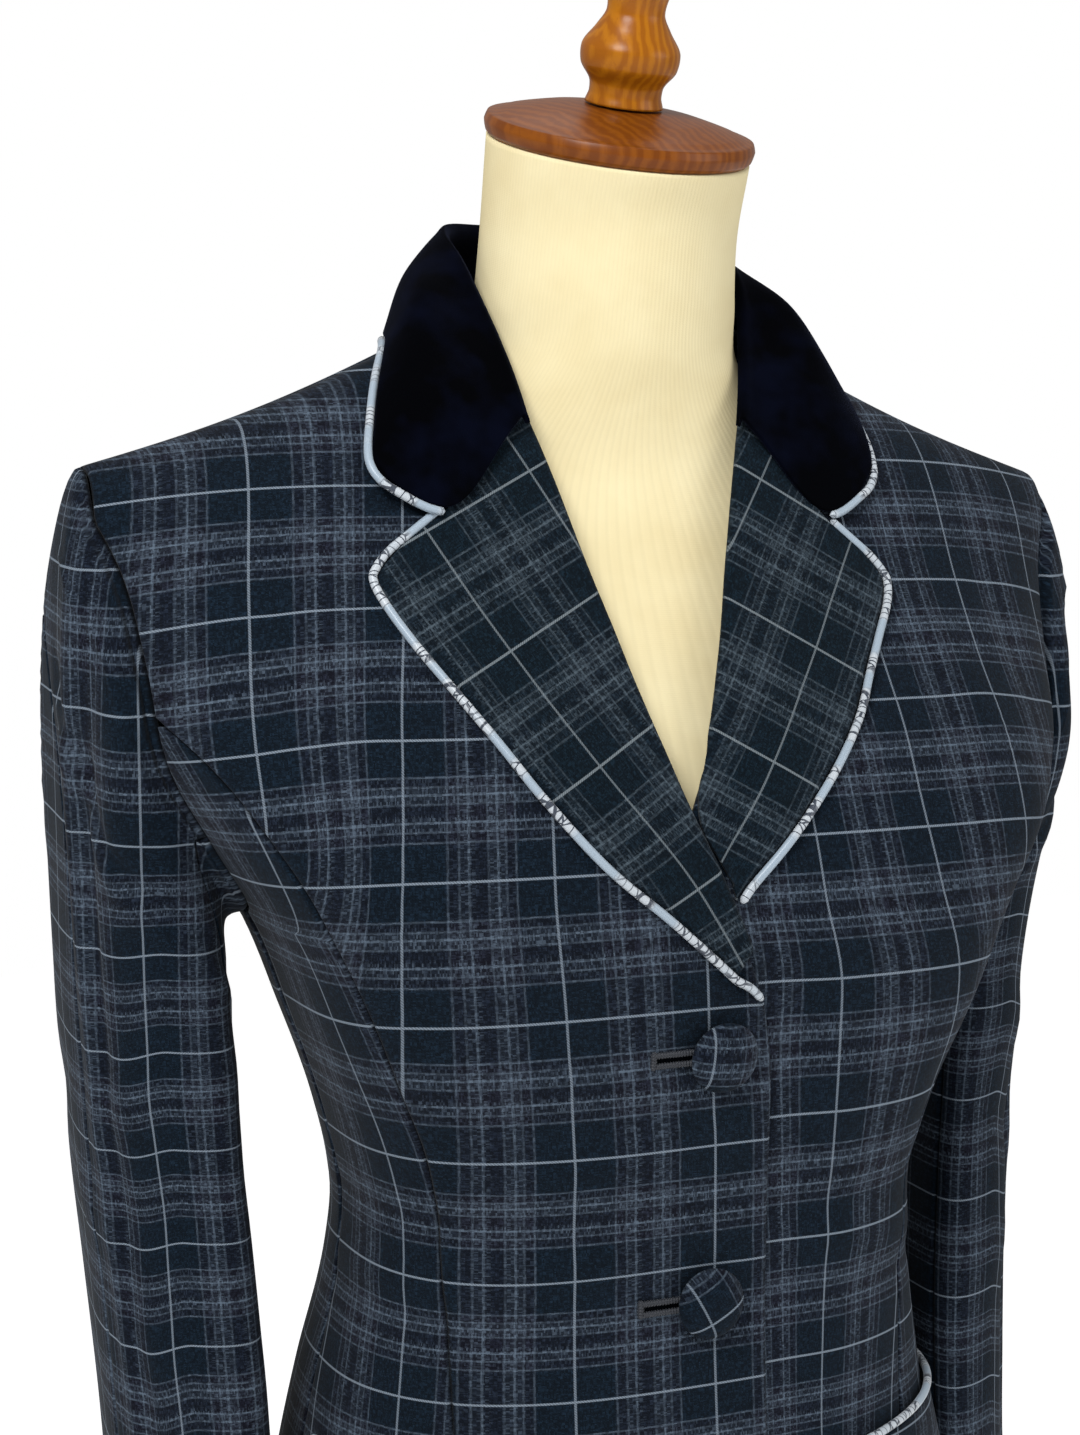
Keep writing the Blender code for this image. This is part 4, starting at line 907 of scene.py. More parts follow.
def make_panels(label, side, edge, drop, rows, columns):
    """The front, side front, side back and back of one half of the coat."""
    long_rows, side_rows = refined(FRONT_ROWS), refined(SIDE_ROWS)
    rise = np.clip((long_rows - BACK_NECK_ROW) / (TOP_ROW - BACK_NECK_ROW), 0, 1)
    back_start = NECK_X * np.sqrt(rise)[:, None]
    front_seam, back_seam = up_to_armhole(PRINCESS_FRONT, True), up_to_armhole(PRINCESS_BACK, False)
    for part, surface, levels, inner, outer, count, sunk in (
            ("front", front_y, long_rows, line(edge, side), front_seam, 46, drop),
            ("side_front", front_y, side_rows, line(PRINCESS_FRONT), side_outer(True), 30, flush),
            ("side_back", back_y, side_rows, line(PRINCESS_BACK), side_outer(False), 34, flush),
            ("back", back_y, long_rows, back_start, back_seam, 46, flush)):
        creased = FRONT_CREASES if surface is front_y else BACK_CREASES
        grid, normals, x, z, at = panel(surface, levels, inner, outer, count, side, sunk, creased)
        if part == "front":
            uv = np.stack([check_column(columns, x, z), check_row(rows, x, z)], axis=-1)
        elif part == "back":
            uv = np.stack([np.abs(x) / BACK_REPEAT + 0.5, check_row(RIGHT_ROWS, x, z)], axis=-1)
        else:
            uv = around_uv(x, z, at, 0.35 if part == "side_front" else 0.30, rows)
        seams = (at[:, -1:] - at,) if part == "front" else (at, at[:, -1:] - at)
        sew(label + "_" + part, "checked_wool", grid, normals, uv, WOOL, seam_shade(*seams))


make_panels("right", -1, RIGHT_EDGE, flush, RIGHT_ROWS, RIGHT_COLUMNS)
make_panels("left", 1, LEFT_EDGE, under_right, LEFT_ROWS, LEFT_COLUMNS)
print("panels:", len(PIECES))

# %% [markdown]
# ## Two-piece sleeves
# A tailored sleeve has an upper and an under piece. Its first ring is the
# armhole itself; the next rings tip over about the underarm and become a
# flattened round that follows the arm's bend down to the cuff.

# %% Sleeve rings
SLEEVE = table(
    "outer_x outer_z inner_x inner_z  middle  half_depth",
    (0.2165, 0.3262, 0.1590, 0.1500, 0.000, 0.000),
    (0.2195, 0.3215, 0.1606, 0.1494, 0.000, 0.047),
    (0.2225, 0.3110, 0.1616, 0.1484, 0.001, 0.050),
    (0.2250, 0.2940, 0.1622, 0.1470, 0.003, 0.053),
    (0.2262, 0.2690, 0.1624, 0.1450, 0.007, 0.055),
    (0.2258, 0.2380, 0.1622, 0.1420, 0.012, 0.058),
    (0.2242, 0.2050, 0.1616, 0.1370, 0.017, 0.060),
    (0.2226, 0.1650, 0.1606, 0.1270, 0.021, 0.061),
    (0.2210, 0.1150, 0.1592, 0.1000, 0.024, 0.061),
    (0.2172, 0.0550, 0.1560, 0.0500, 0.024, 0.059),
    (0.2122, -0.0100, 0.1515, -0.0110, 0.019, 0.056),
    (0.2085, -0.0700, 0.1482, -0.0700, 0.012, 0.053),
    (0.2065, -0.1300, 0.1490, -0.1280, 0.006, 0.051),
    (0.2100, -0.1950, 0.1545, -0.1920, -0.001, 0.048),
    (0.2165, -0.2620, 0.1615, -0.2580, -0.006, 0.046),
)
SEAM_TURNS = table(
    "ring  back  front",
    (0, -72, 128), (2, -62, 131), (3, -48, 136), (4, -28, 142), (5, -8, 149), (6, 10, 157),
    (8, 26, 165), (10, 22, 165), (14, 8, 165))
# how the armhole's ring turns, slides and narrows into the sleeve's level rings
SWING, SLEEVE_SHRINK, ARMHOLE_SHRINK, SLIDE, TWIST = 0.27, 0.656, 0.020, 0.62, 0.50
ARMHOLE_GAP = 0.0009
SOFT_RINGS = 6.0         # over these rings the armhole's depth becomes the sleeve's
LAST_RING = len(SLEEVE["outer_x"]) - 1
print("rings in the sleeve's table:", LAST_RING + 1)


# %% Points on a sleeve
def sleeve_point(ring, angle):
    """Points at ring numbers and angles, arrays of one shape. Each ring lies
    in the plane through its inner and outer end; along that line it runs as
    half of 1+cos, across it as minus sine, and the first rings keep the
    armhole's own stray from the line."""
    numbers = np.arange(LAST_RING + 1, dtype=float)
    size = {k: smooth(ring, numbers, v) for k, v in SLEEVE.items()}
    inner, outer = (np.stack([size[end + "_x"], size[end + "_z"]], axis=-1)
                    for end in ("inner", "outer"))
    inner0, outer0 = (np.array([SLEEVE[end + "_x"][0], SLEEVE[end + "_z"][0]])
                      for end in ("inner", "outer"))
    length, length0 = np.linalg.norm(outer - inner, axis=-1), np.linalg.norm(outer0 - inner0)
    e, e0 = (outer - inner) / length[..., None], (outer0 - inner0) / length0
    n, n0 = np.stack([e[..., 1], -e[..., 0]], axis=-1), np.array((e0[1], -e0[0]))
    y0, z0 = armhole_yz(angle)
    chord_x = inner0[0] + (1 + np.cos(angle)) / 2 * (outer0[0] - inner0[0])
    stray = side_x(y0, z0) - chord_x
    level = np.arctan2(e[..., 1], e[..., 0]) / np.arctan2(e0[1], e0[0])
    shrunk = (1 - length / length0) / SLEEVE_SHRINK
    outward = SLIDE * np.sin(angle) * (1 - 0.5 * np.cos(angle))
    back = TWIST * (1 - np.cos(angle)) / 2
    slid = angle - shrunk * (outward + back)
    along = (1 + np.cos(slid)) / 2 * length + level * stray * e0[0]
    off = level * stray * n0[0] + ARMHOLE_GAP
    place = inner + along[..., None] * e + off[..., None] * n
    y = size["middle"] - size["half_depth"] * np.sin(slid)
    soft = np.minimum(ring / SOFT_RINGS, 1.0)
    y = y0 * (1 - ARMHOLE_SHRINK) * (1 - soft) + y * soft
    x = place[..., 0] + SWING * (1 - level) * (y - size["middle"]) * np.sin(slid) ** 2
    return np.stack([x, y, place[..., 1]], axis=-1)


# %% Creases and normals of a sleeve
SLEEVE_CREASES = table(  # x is the angle in turns of the ring, z the ring number
    "x      z      turn  long  wide   high",
    (0.28,  8.6,   20,  0.10, 0.35,  0.0022),
    (0.33,  9.3,   12,  0.09, 0.30, -0.0018),
    (0.30, 10.2,  -10,  0.10, 0.35,  0.0018),
    (0.05,  9.4,  -30,  0.10, 0.40,  0.0014),
    (0.80,  8.8,   15,  0.10, 0.35, -0.0016),
    (0.10,  3.2,   60,  0.30, 0.05,  0.0010),
    (0.16,  5.5,   80,  1.60, 0.035, -0.0014),
    (0.22,  6.2,   80,  1.80, 0.035,  0.0016),
    (0.115, 6.5,   89.4, 4.50, 0.030,  0.0022),
    (0.190, 7.5,   89.2, 4.00, 0.035, -0.0026),
)


SMALL = 0.02             # step in rings and in angle that gives the normals


def sleeve_surface(ring, angle):
    """Points, outward normals from small steps round and along, and the
    height of the creases."""
    round_step = sleeve_point(ring, angle + SMALL) - sleeve_point(ring, angle - SMALL)
    along_step = (sleeve_point(np.minimum(ring + SMALL, LAST_RING), angle)
                  - sleeve_point(np.maximum(ring - SMALL, 0), angle))
    share = np.mod(angle / (2 * pi), 1.0)
    bumps = hills(share, ring, SLEEVE_CREASES) * ramp(ring, 0.5, 2.5)
    return sleeve_point(ring, angle), unit(np.cross(round_step, along_step)), bumps


RIGHT_SLEEVE_ROWS = table(
    "z       row",
    (-0.270, 8), (-0.220, 7), (-0.165, 6), (-0.118, 5.0), (-0.0685, 4), (-0.0196, 3), (0.0215, 2),
    (0.0589, 1), (0.0988, 0), (0.1405, -1), (0.1869, -2), (0.2364, -3), (0.2887, -4), (0.340, -5))
LEFT_SLEEVE_ROWS = table(
    "z       row",
    (-0.285, 8), (-0.235, 7), (-0.185, 6), (-0.135, 5), (-0.0847, 4), (-0.0443, 3), (-0.0014, 2),
    (0.0441, 1), (0.0865, 0), (0.128, -1), (0.1762, -2), (0.2269, -3), (0.2818, -4), (0.335, -5))
SLEEVE_TILT = 0.10       # the check rows run down towards the front
FOLD_RISE = 0.15         # and rise by this share of a repeat past the long fold at the front
ARM = table(              # the sleeve's level sections, for the grain of its cloth
    "z       centre  half_width middle  half_depth",
    (-0.260, 0.1890, 0.0275,  -0.006, 0.046), (-0.130, 0.1778, 0.0288, 0.006, 0.051),
    (-0.010, 0.1818, 0.0304,   0.019, 0.056), (0.108,  0.1900, 0.0309, 0.024, 0.061),
    (0.170,  0.1920, 0.0320,   0.017, 0.060), (0.250,  0.1935, 0.0315, 0.005, 0.053),
    (0.310,  0.1930, 0.0300,   0.000, 0.047))
RING_EDGES = np.array((0.01, 0.03, 0.06))    # rings just before the cuff, where its edge is rounded
ELLIPSE_TURN = np.linspace(-pi, 2 * pi, 361)
ELLIPSE_STEPS = np.hypot(0.0305 * np.diff(np.cos(ELLIPSE_TURN)),
                         0.0560 * np.diff(np.sin(ELLIPSE_TURN)))
ELLIPSE_RUN = np.cumsum(np.append(0, ELLIPSE_STEPS))
ELLIPSE_RUN -= np.interp(0, ELLIPSE_TURN, ELLIPSE_RUN)


def sleeve_uv(points, rows, start):
    """Cloth coordinates on a sleeve: the distance round its level section, an
    ellipse, and the row of the check, which tilts and rises at the front."""
    x, y, z = np.moveaxis(points, -1, 0)
    middle, half_depth, centre, half_width = (
        through(ARM, "z", name, z) for name in ("middle", "half_depth", "centre", "half_width"))
    turn = np.arctan2((middle - y) / half_depth, (x - centre) / half_width)
    row = np.interp(z + SLEEVE_TILT * (middle - y), rows["z"], rows["row"])
    row = row + FOLD_RISE * ramp(turn, radians(45), radians(85)) * (1 - ramp(z, 0.08, 0.20))
    if start > 0:
        turn = np.where(turn < -radians(100), turn + 2 * pi, turn)
    run = np.interp(turn, ELLIPSE_TURN, ELLIPSE_RUN)
    return np.stack([start + run / FLAT_REPEAT, row], axis=-1)


# %% Sleeve pieces
def sleeve_piece(side, starts, ends, count):
    """One piece of a sleeve from seam angle to seam angle on every ring."""
    rings = np.concatenate([np.linspace(0, LAST_RING, 113), LAST_RING - RING_EDGES, (0.02, 0.06)])
    rings = np.unique(rings)
    turns = [radians(1) * through(SEAM_TURNS, "ring", name, rings)[:, None] + more
             for name, more in (starts, ends)]
    fine = turns[0] + (turns[1] - turns[0]) * np.linspace(0, 1, 160)
    ring_grid = np.broadcast_to(rings[:, None], fine.shape)
    run = lengths(sleeve_point(ring_grid, fine), axis=1)
    at = spread(run[:, -1:], count)
    angle = follow(at, run, fine)
    ring_grid = np.broadcast_to(rings[:, None], angle.shape)
    points, normals, bumps = sleeve_surface(ring_grid, angle)
    down = lengths(points, axis=0)
    lift = bumps - edge_dip(at) - edge_dip(at[:, -1:] - at)
    lift = lift - edge_dip(down) - edge_dip(down[-1:] - down)
    grid = (points + normals * lift[..., None]) * (side, 1, 1)
    return points, grid, normals * (side, 1, 1), seam_shade(at, at[:, -1:] - at, down)


for label, side, rows in (("right", -1, RIGHT_SLEEVE_ROWS), ("left", 1, LEFT_SLEEVE_ROWS)):
    for part, starts, ends, count, start in (("upper", ("back", 0), ("front", 0), 44, -0.11),
                                             ("under", ("front", 0), ("back", 2 * pi), 52, 0.15)):
        points, grid, normals, shade = sleeve_piece(side, starts, ends, count)
        uv = sleeve_uv(points, rows, start)
        sew("%s_%s_sleeve" % (label, part), "checked_wool", grid, normals, uv, WOOL, shade)
widest = SHEETS["left_upper_sleeve_cloth"][0]
print("sleeve pieces made, the upper one %.0f mm wide at the widest" % (1000 * widest))

# %% [markdown]
# ## Lapels
# A lapel is the front's facing, folded back. It lies on the front from its
# fold line to its edge, and at the fold it rolls over the front's edge in a
# tight curve. Its rows are lines across it, and the first row bends in at
# the notch that it shares with the collar.

# %% Measures of the lapels
LIE = CLOTH + 0.0010     # outer side of a layer that lies on a panel
PIPING_RADIUS, PIPE_GAP = 0.0017, 0.0002
CORD_LIE = PIPING_RADIUS + 0.0006
ROLL_OUT, ROLL_DOWN, ROLL_COLUMNS = 0.0031, 0.0030, 6
FLAT_FOLD = 0.0009       # where the lapel doesn't roll, its fold goes out by this for each radian
LAPEL_CLEAR = 0.0060     # from the left lapel's fold to the edge of the right front
LAPEL_END = np.array(((0.0100, 0.1262), (0.0152, 0.1212)))     # the right cord's last two points
LAPEL_SAG, SAG_FLOOR = 0.0011, -0.0004   # soft waves of a lapel, and how far they may go in
RIGHT_LAPEL = table(
    "fold_z   edge_x   edge_z",
    (0.3455, -0.1150, 0.2880), (0.3270, -0.1185, 0.2815), (0.3090, -0.1157, 0.2722),
    (0.2870, -0.1085, 0.2585), (0.2650, -0.0985, 0.2428), (0.2430, -0.0862, 0.2240),
    (0.2200, -0.0706, 0.2010), (0.1950, -0.0500, 0.1775), (0.1730, -0.0250, 0.1570),
    (0.1510, -0.0050, 0.1398), (0.1400, 0.0040, 0.1318))
LEFT_LAPEL = table(
    "fold_z   edge_x   edge_z",
    (0.3420, 0.0955, 0.2845), (0.3280, 0.0975, 0.2790), (0.3100, 0.0945, 0.2700),
    (0.2890, 0.0850, 0.2565), (0.2640, 0.0750, 0.2418), (0.2390, 0.0652, 0.2270),
    (0.2180, 0.0495, 0.2085), (0.2020, 0.0338, 0.1918), (0.1880, 0.0200, 0.1780),
    (0.1760, 0.0095, 0.1670), (0.1660, 0.0042, 0.1600))
NOTCHES = ((-0.0880, 0.3072), (0.0770, 0.3015))
FROM_NOTCH = 0.60        # the first row bends most at this share of it, and is free beyond
ACROSS = np.unique(np.concatenate([(0, 0.01, 0.03), np.linspace(0, 1, 41), (0.985, 0.993)]))


# %% Lapel surfaces
def roll_over(grid, normals, heights, low, high):
    """The grid with more columns in front that bend round the fold. Below the
    height `low` the fold is flat, and above `high` it is a full roll."""
    away, top = unit(grid[:, 0] - grid[:, 2]), normals[:, 0]
    curl = np.clip((heights[:, None] - low) / (high - low), 0, 1)
    rolled, leaning = [], []
    for turn in np.linspace(pi / 2, 0, ROLL_COLUMNS + 1)[:-1]:
        step = away * (ROLL_OUT * np.sin(turn)) - top * (ROLL_DOWN * (1 - np.cos(turn)))
        rolled.append(grid[:, 0] + curl * step + (1 - curl) * away * FLAT_FOLD * turn)
        leaning.append(unit(top * (1 - curl + curl * np.cos(turn)) + curl * away * np.sin(turn)))
    return (np.concatenate([np.stack(rolled, axis=1), grid], axis=1),
            np.concatenate([np.stack(leaning, axis=1), normals], axis=1))


def lapel_surface(rows, fold_x, notch, drop, roll_ends, count=90):
    """Grid and normals of a lapel from the fold's roll to its outer edge."""
    numbers = np.arange(len(rows["fold_z"]), dtype=float)
    at = np.unique(np.concatenate([np.linspace(0, numbers[-1], count), (0.03, 0.08)]))
    fold = smooth(at, numbers, np.stack([fold_x, rows["fold_z"]], axis=-1))
    edge = smooth(at, numbers, np.stack([rows["edge_x"], rows["edge_z"]], axis=-1))
    flat = fold[:, None] + (edge - fold)[:, None] * ACROSS[None, :, None]
    fade = np.clip(1 - at / 3.0, 0, 1)[:, None] ** 1.3
    bend = fade * np.interp(ACROSS, (0, FROM_NOTCH, 1), (0, 1, 0))
    home = fold[0] + (edge[0] - fold[0]) * FROM_NOTCH
    flat = flat + bend[..., None] * (np.array(notch) - home)
    x, z = flat[..., 0], flat[..., 1]
    normals = normal_at(front_y, x, z)
    bell = LAPEL_SAG * np.exp(-((ACROSS - 0.62) / 0.25) ** 2)
    soft = bell[None] * np.sin(at * 1.1 + 0.6)[:, None] * ramp(at, 1, 4)[:, None]
    grid = on_body(front_y, x, z, LIE - drop(x, z) + np.maximum(soft, SAG_FLOOR))
    return roll_over(grid, normals, fold[:, 1], *roll_ends)


RIGHT_LONG = table(      # the check line that runs along the edge
    "z      x", (0.1321, 0.0076), (0.1668, -0.0150), (0.2119, -0.0491), (0.2540, -0.0738),
    (0.3008, -0.0980))
LEFT_LONG = table(
    "z      x", (0.1711, -0.0057), (0.2115, 0.0228), (0.2528, 0.0548), (0.2918, 0.0836))
CROSS_NUMBERS = (4, 3, 2, 1, 0, -1, -2)
RIGHT_CROSS = (0.12, 0.166, 0.2129, 0.255, 0.300, 0.345, 0.40)     # where the others meet it
LEFT_CROSS = (0.12, 0.1675, 0.2115, 0.2532, 0.297, 0.342, 0.39)
CROSS_TILT, LAPEL_GRAIN = 0.41, 0.92


def lapel_uv(x, z, side):
    """Cloth coordinates on a lapel: the check's long line follows the edge,
    and the cross lines tilt against it."""
    rows, crossings = (RIGHT_LONG, RIGHT_CROSS) if side < 0 else (LEFT_LONG, LEFT_CROSS)
    heights, widths = rows["z"], rows["x"]
    on_line = smooth(z, heights, widths)
    for end, inner, past in ((0, 1, z < heights[0]), (-1, -2, z > heights[-1])):
        rise, shift = heights[end] - heights[inner], widths[end] - widths[inner]
        on_line = np.where(past, widths[end] + (z - heights[end]) * shift / rise, on_line)
    off = (x - on_line) * -side
    along = np.interp(z - CROSS_TILT * off, crossings, CROSS_NUMBERS)
    return np.stack([LAPEL_GRAIN * off / FLAT_REPEAT, along], axis=-1)


# %% Cords
CORD_STEP, CORD_SIDES = 0.0016, 14


def rounded_ends(run, radius):
    """Radius along a cord: at a distance d from an end it is
    sqrt(1 - (1 - d/R)^2) of R, so both ends are round."""
    ends = np.clip(np.minimum(run, run[-1] - run) / radius, 0, 1)
    return radius * np.sqrt(np.clip(1 - (1 - ends) ** 2, 0.02, 1))


def pipe(name, path, frames):
    """A satin cord along a path: a ring of points set out from the path along
    two directions square to it."""
    run = lengths(path)
    fine = np.append(np.arange(0, run[-1], CORD_STEP), run[-1])
    path, up = smooth(fine, run, path), unit(smooth(fine, run, frames))
    along = unit(np.gradient(path, axis=0))
    up = unit(up - along * (up * along).sum(-1, keepdims=True))
    out = np.cross(along, up)
    turn = np.linspace(0, 2 * pi, CORD_SIDES + 1)[:-1]
    c, s = np.cos(turn)[None, :, None], np.sin(turn)[None, :, None]
    ring = (out[:, None] * c + up[:, None] * s) * rounded_ends(fine, PIPING_RADIUS)[:, None, None]
    points = np.concatenate([(path[:, None] + ring).reshape(-1, 3), path[[0, -1]]])
    half_turn = PIPING_RADIUS * np.minimum(turn, 2 * pi - turn)
    uv = np.stack(np.broadcast_arrays(half_turn[None], fine[:, None]), axis=-1)
    uv = np.concatenate([uv.reshape(-1, 2), [(0, 0), (0, fine[-1])]])
    faces = tube_faces(len(fine), CORD_SIDES)
    keep(mesh_object(name + "_cord", points, faces, uv, SATIN), name + "_piping", "silver_satin")
    print("%s: %.0f mm of cord" % (name + "_cord", 1000 * fine[-1]))


def round_corner(path, frames, corner, radius):
    """Replace the corner of a path, near the point number `corner`, by an arc
    that touches both sides `radius` away from it (a quadratic curve)."""
    run = lengths(path)
    middle = run[corner]
    before, after = run < middle - radius, run > middle + radius
    a, b = (np.array([np.interp(at, run, path[:, k]) for k in range(3)])
            for at in (middle - radius, middle + radius))
    t = np.linspace(0, 1, 9)[:, None]
    arc = a * (1 - t) ** 2 + 2 * path[corner] * t * (1 - t) + b * t ** 2
    turned = frames[[corner]].repeat(9, axis=0)
    return (np.concatenate([path[before], arc, path[after]]),
            np.concatenate([frames[before], turned, frames[after]]))


def beside(edge, inside, normals, lower):
    """The line of a cord along a sheet's edge: square off the edge, away from
    the points just inside it, and `lower` under the sheet's outer side."""
    along = unit(np.gradient(edge, axis=0))
    away = edge - inside
    away = unit(away - along * (away * along).sum(-1, keepdims=True))
    return edge + away * (PIPING_RADIUS + PIPE_GAP) - normals * lower


# %% Lapels and their piping
CORNER = 0.008           # the lapel's point and the collar's corners are rounded by this much


def trim_corner(grid, normals, radius):
    """Round the corner where the last column meets the first row: rows close
    to the start end short of the edge by R - sqrt(R^2 - (R-d)^2)."""
    down = lengths(grid[:, -1])
    short = radius - np.sqrt(np.clip(radius ** 2 - np.clip(radius - down, 0, None) ** 2, 0, None))
    run = lengths(grid, axis=1)
    share = 1 - short / run[:, -1]
    for i in np.flatnonzero(down < radius):
        at = run[i] * share[i]
        for values in (grid, normals):
            columns = [np.interp(at, run[i], values[i, :, k]) for k in range(3)]
            values[i] = np.stack(columns, axis=-1)
        normals[i] = unit(normals[i])
    return grid, normals


def sink_edge(grid, normals):
    """The grid with its outer edge sunk."""
    run = lengths(grid, axis=1)
    return grid - normals * edge_dip(run[:, -1:] - run)[..., None]


right_fold = line(RIGHT_EDGE)(RIGHT_LAPEL["fold_z"])
left_fold = np.maximum(line(LEFT_EDGE)(LEFT_LAPEL["fold_z"]),
                       line(RIGHT_EDGE)(LEFT_LAPEL["fold_z"]) + LAPEL_CLEAR)
for label, side, rows, fold, notch, drop, roll_ends in (
        ("right", -1, RIGHT_LAPEL, right_fold, NOTCHES[0], flush, (0.115, 0.135)),
        ("left", 1, LEFT_LAPEL, left_fold, NOTCHES[1], under_right, (0.205, 0.222))):
    grid, normals = lapel_surface(rows, fold, notch, drop, roll_ends)
    first = int(np.searchsorted(ACROSS, FROM_NOTCH)) + ROLL_COLUMNS
    edge = np.concatenate([grid[0, first:], grid[1:, -1]])
    inside = np.concatenate([grid[4, first:], grid[1:, -6]])
    frames = np.concatenate([normals[0, first:], normals[1:, -1]])
    cord = beside(edge, inside, frames, LIE - CORD_LIE)
    cord, frames = round_corner(cord, frames, grid.shape[1] - first - 1, CORNER)
    if label == "right":
        ends = on_body(front_y, LAPEL_END[:, 0], LAPEL_END[:, 1], CORD_LIE)
        cord, frames = np.concatenate([cord, ends]), np.concatenate([frames, frames[-2:]])
    grid, normals = trim_corner(grid, normals, CORNER)
    uv = lapel_uv(grid[..., 0], grid[..., 2], side)
    sew(label + "_lapel", "facing_wool", sink_edge(grid, normals), normals, uv, FACING, cut=grid)
    pipe(label + "_lapel", cord, frames)

# %% [markdown]
# ## The collar
# A collar stands up round the neck, folds over and falls to its edge. Each
# station round the neck is such a strip; a curve through the stations gives
# the whole collar.

# %% The collar
COLLAR = table(           # stations from the gorge to the middle of the back, on the wearer's left
    "seam_x seam_y  seam_z  fold_x fold_y  fold_z  mid_x  mid_y   mid_z   edge_x  edge_y  edge_z",
    (0.0520, -0.0545, 0.3440, 0.048, -0.0600, 0.3455, 0.084, -0.0680, 0.3095, 0.1085, -0.0600, 0.3215),
    (0.0560, -0.0440, 0.3590, 0.052, -0.0500, 0.3630, 0.084, -0.0555, 0.3500, 0.1105, -0.0545, 0.3310),
    (0.0595, -0.0325, 0.3750, 0.056, -0.0390, 0.3800, 0.086, -0.0465, 0.3675, 0.1090, -0.0470, 0.3430),
    (0.0630, -0.0210, 0.3860, 0.060, -0.0275, 0.3960, 0.085, -0.0365, 0.3830, 0.1045, -0.0350, 0.3590),
    (0.0650, -0.0080, 0.3905, 0.062, -0.0130, 0.4110, 0.083, -0.0215, 0.3970, 0.0970, -0.0185, 0.3740),
    (0.0650, 0.0090,  0.3920, 0.061, 0.0080,  0.4225, 0.079, 0.0050,  0.4055, 0.0900, 0.0040,  0.3795),
    (0.0530, 0.0300,  0.3930, 0.051, 0.0300,  0.4290, 0.067, 0.0340,  0.4075, 0.0785, 0.0330,  0.3795),
    (0.0300, 0.0450,  0.3915, 0.029, 0.0470,  0.4315, 0.041, 0.0600,  0.4060, 0.0490, 0.0660,  0.3755),
    (0.0000, 0.0520,  0.3905, 0.000, 0.0530,  0.4325, 0.000, 0.0680,  0.4060, 0.0000, 0.0780,  0.3750),
)
COLLAR_SKEW, COLLAR_DROP, FOLD_RADIUS = -0.006, 0.0018, 0.0030
STRIP_PARTS = ((0, 2, 10), (2, 4, 14), (4, 5, 14), (5, 6, 20))    # from knot, to knot, points
EDGE_POINTS = np.array((0.0004, 0.0010))         # extra points near the outer edge
END_STATIONS = np.array((0.02, 0.05, 0.09))      # extra stations near both ends


def collar_surface(count=181):
    """Strips from the neck seam up the stand, over the fold and down the
    fall, at stations drawn finer round the neck."""
    mirrored = {k: np.concatenate([v, v[-2::-1] * (-1 if k.endswith("_x") else 1)])
                for k, v in COLLAR.items()}
    knots = np.arange(len(mirrored["seam_x"]), dtype=float)
    at = np.unique(np.concatenate([np.linspace(0, knots[-1], count), END_STATIONS,
                                   knots[-1] - END_STATIONS]))
    end, left = np.abs(at / knots[-1] * 2 - 1) ** 3, at < knots[-1] / 2
    s = {}
    for part in ("seam", "fold", "mid", "edge"):
        columns = [mirrored[part + "_" + axis] for axis in "xyz"]
        points = smooth(at, knots, np.stack(columns, axis=-1))
        points[:, 0] += COLLAR_SKEW * end
        points[:, 2] -= COLLAR_DROP * end * left * (part in ("mid", "edge"))
        s[part] = points
    out = unit((s["mid"] - s["fold"]) * (1, 1, 0))
    down = np.array((0.0, 0.0, 1.2 * FOLD_RADIUS))
    stand = s["seam"] * 0.45 + s["fold"] * 0.55 - out * FOLD_RADIUS * 0.6
    before = s["fold"] - out * FOLD_RADIUS - down
    after = s["fold"] + out * FOLD_RADIUS * 1.3 - down
    path = np.stack([s["seam"], stand, before, s["fold"], after, s["mid"], s["edge"]], axis=1)
    grid = []
    for strip in path:
        run = lengths(strip)
        parts = [np.linspace(run[a], run[b], number) for a, b, number in STRIP_PARTS]
        places = np.unique(np.concatenate([*parts, run[-1] - EDGE_POINTS]))
        grid.append(smooth(places, run, strip))
    grid = np.array(grid)
    return grid, unit(np.cross(np.gradient(grid, axis=1), np.gradient(grid, axis=0)))


# %% The collar and its piping
COLLAR_MID = sum(number - 1 for _, _, number in STRIP_PARTS[:-1])    # where the last part starts
grid, normals = collar_surface()
middle, last, outer = grid.shape[0] // 2, grid.shape[0] - 1, grid.shape[1] - 1
if normals[middle, -8, 1] < 0:
    normals = -normals
side_edge = np.arange(COLLAR_MID, outer)


def round_the_edge(values, ends, in_from_edge):
    """Values along the collar's left end, its outer edge and its right end."""
    return np.concatenate([values[ends, side_edge], values[:, outer - in_from_edge],
                           values[last - ends, side_edge[::-1]]])


edge, inside = round_the_edge(grid, 0, 0), round_the_edge(grid, 6, 8)
frames = round_the_edge(normals, 0, 0)
wearer_left = np.arange(len(edge)) < len(side_edge) + last // 2
on_outer_edge = ramp(lengths(edge), 0.028, 0.040) * wearer_left
cord = beside(edge, inside, frames, (0.0006 + 0.0020 * on_outer_edge)[:, None])
for corner in (len(side_edge) + last, len(side_edge)):
    cord, frames = round_corner(cord, frames, corner, CORNER)
for half in (slice(None, last // 2), slice(None, last // 2, -1)):
    grid[half], normals[half] = trim_corner(grid[half].copy(), normals[half].copy(), CORNER)
run = lengths(grid, axis=1)
uv = np.stack(np.broadcast_arrays(np.linspace(0, 0.5, last + 1)[:, None], run), axis=-1)
sew("collar", "navy_velvet", sink_edge(grid, normals), normals, uv, VELVET, cut=grid)
pipe("collar", cord, frames)
print("collar: %.0f x %.0f mm" % tuple(1000 * v for v in SHEETS["collar_cloth"][:2]))

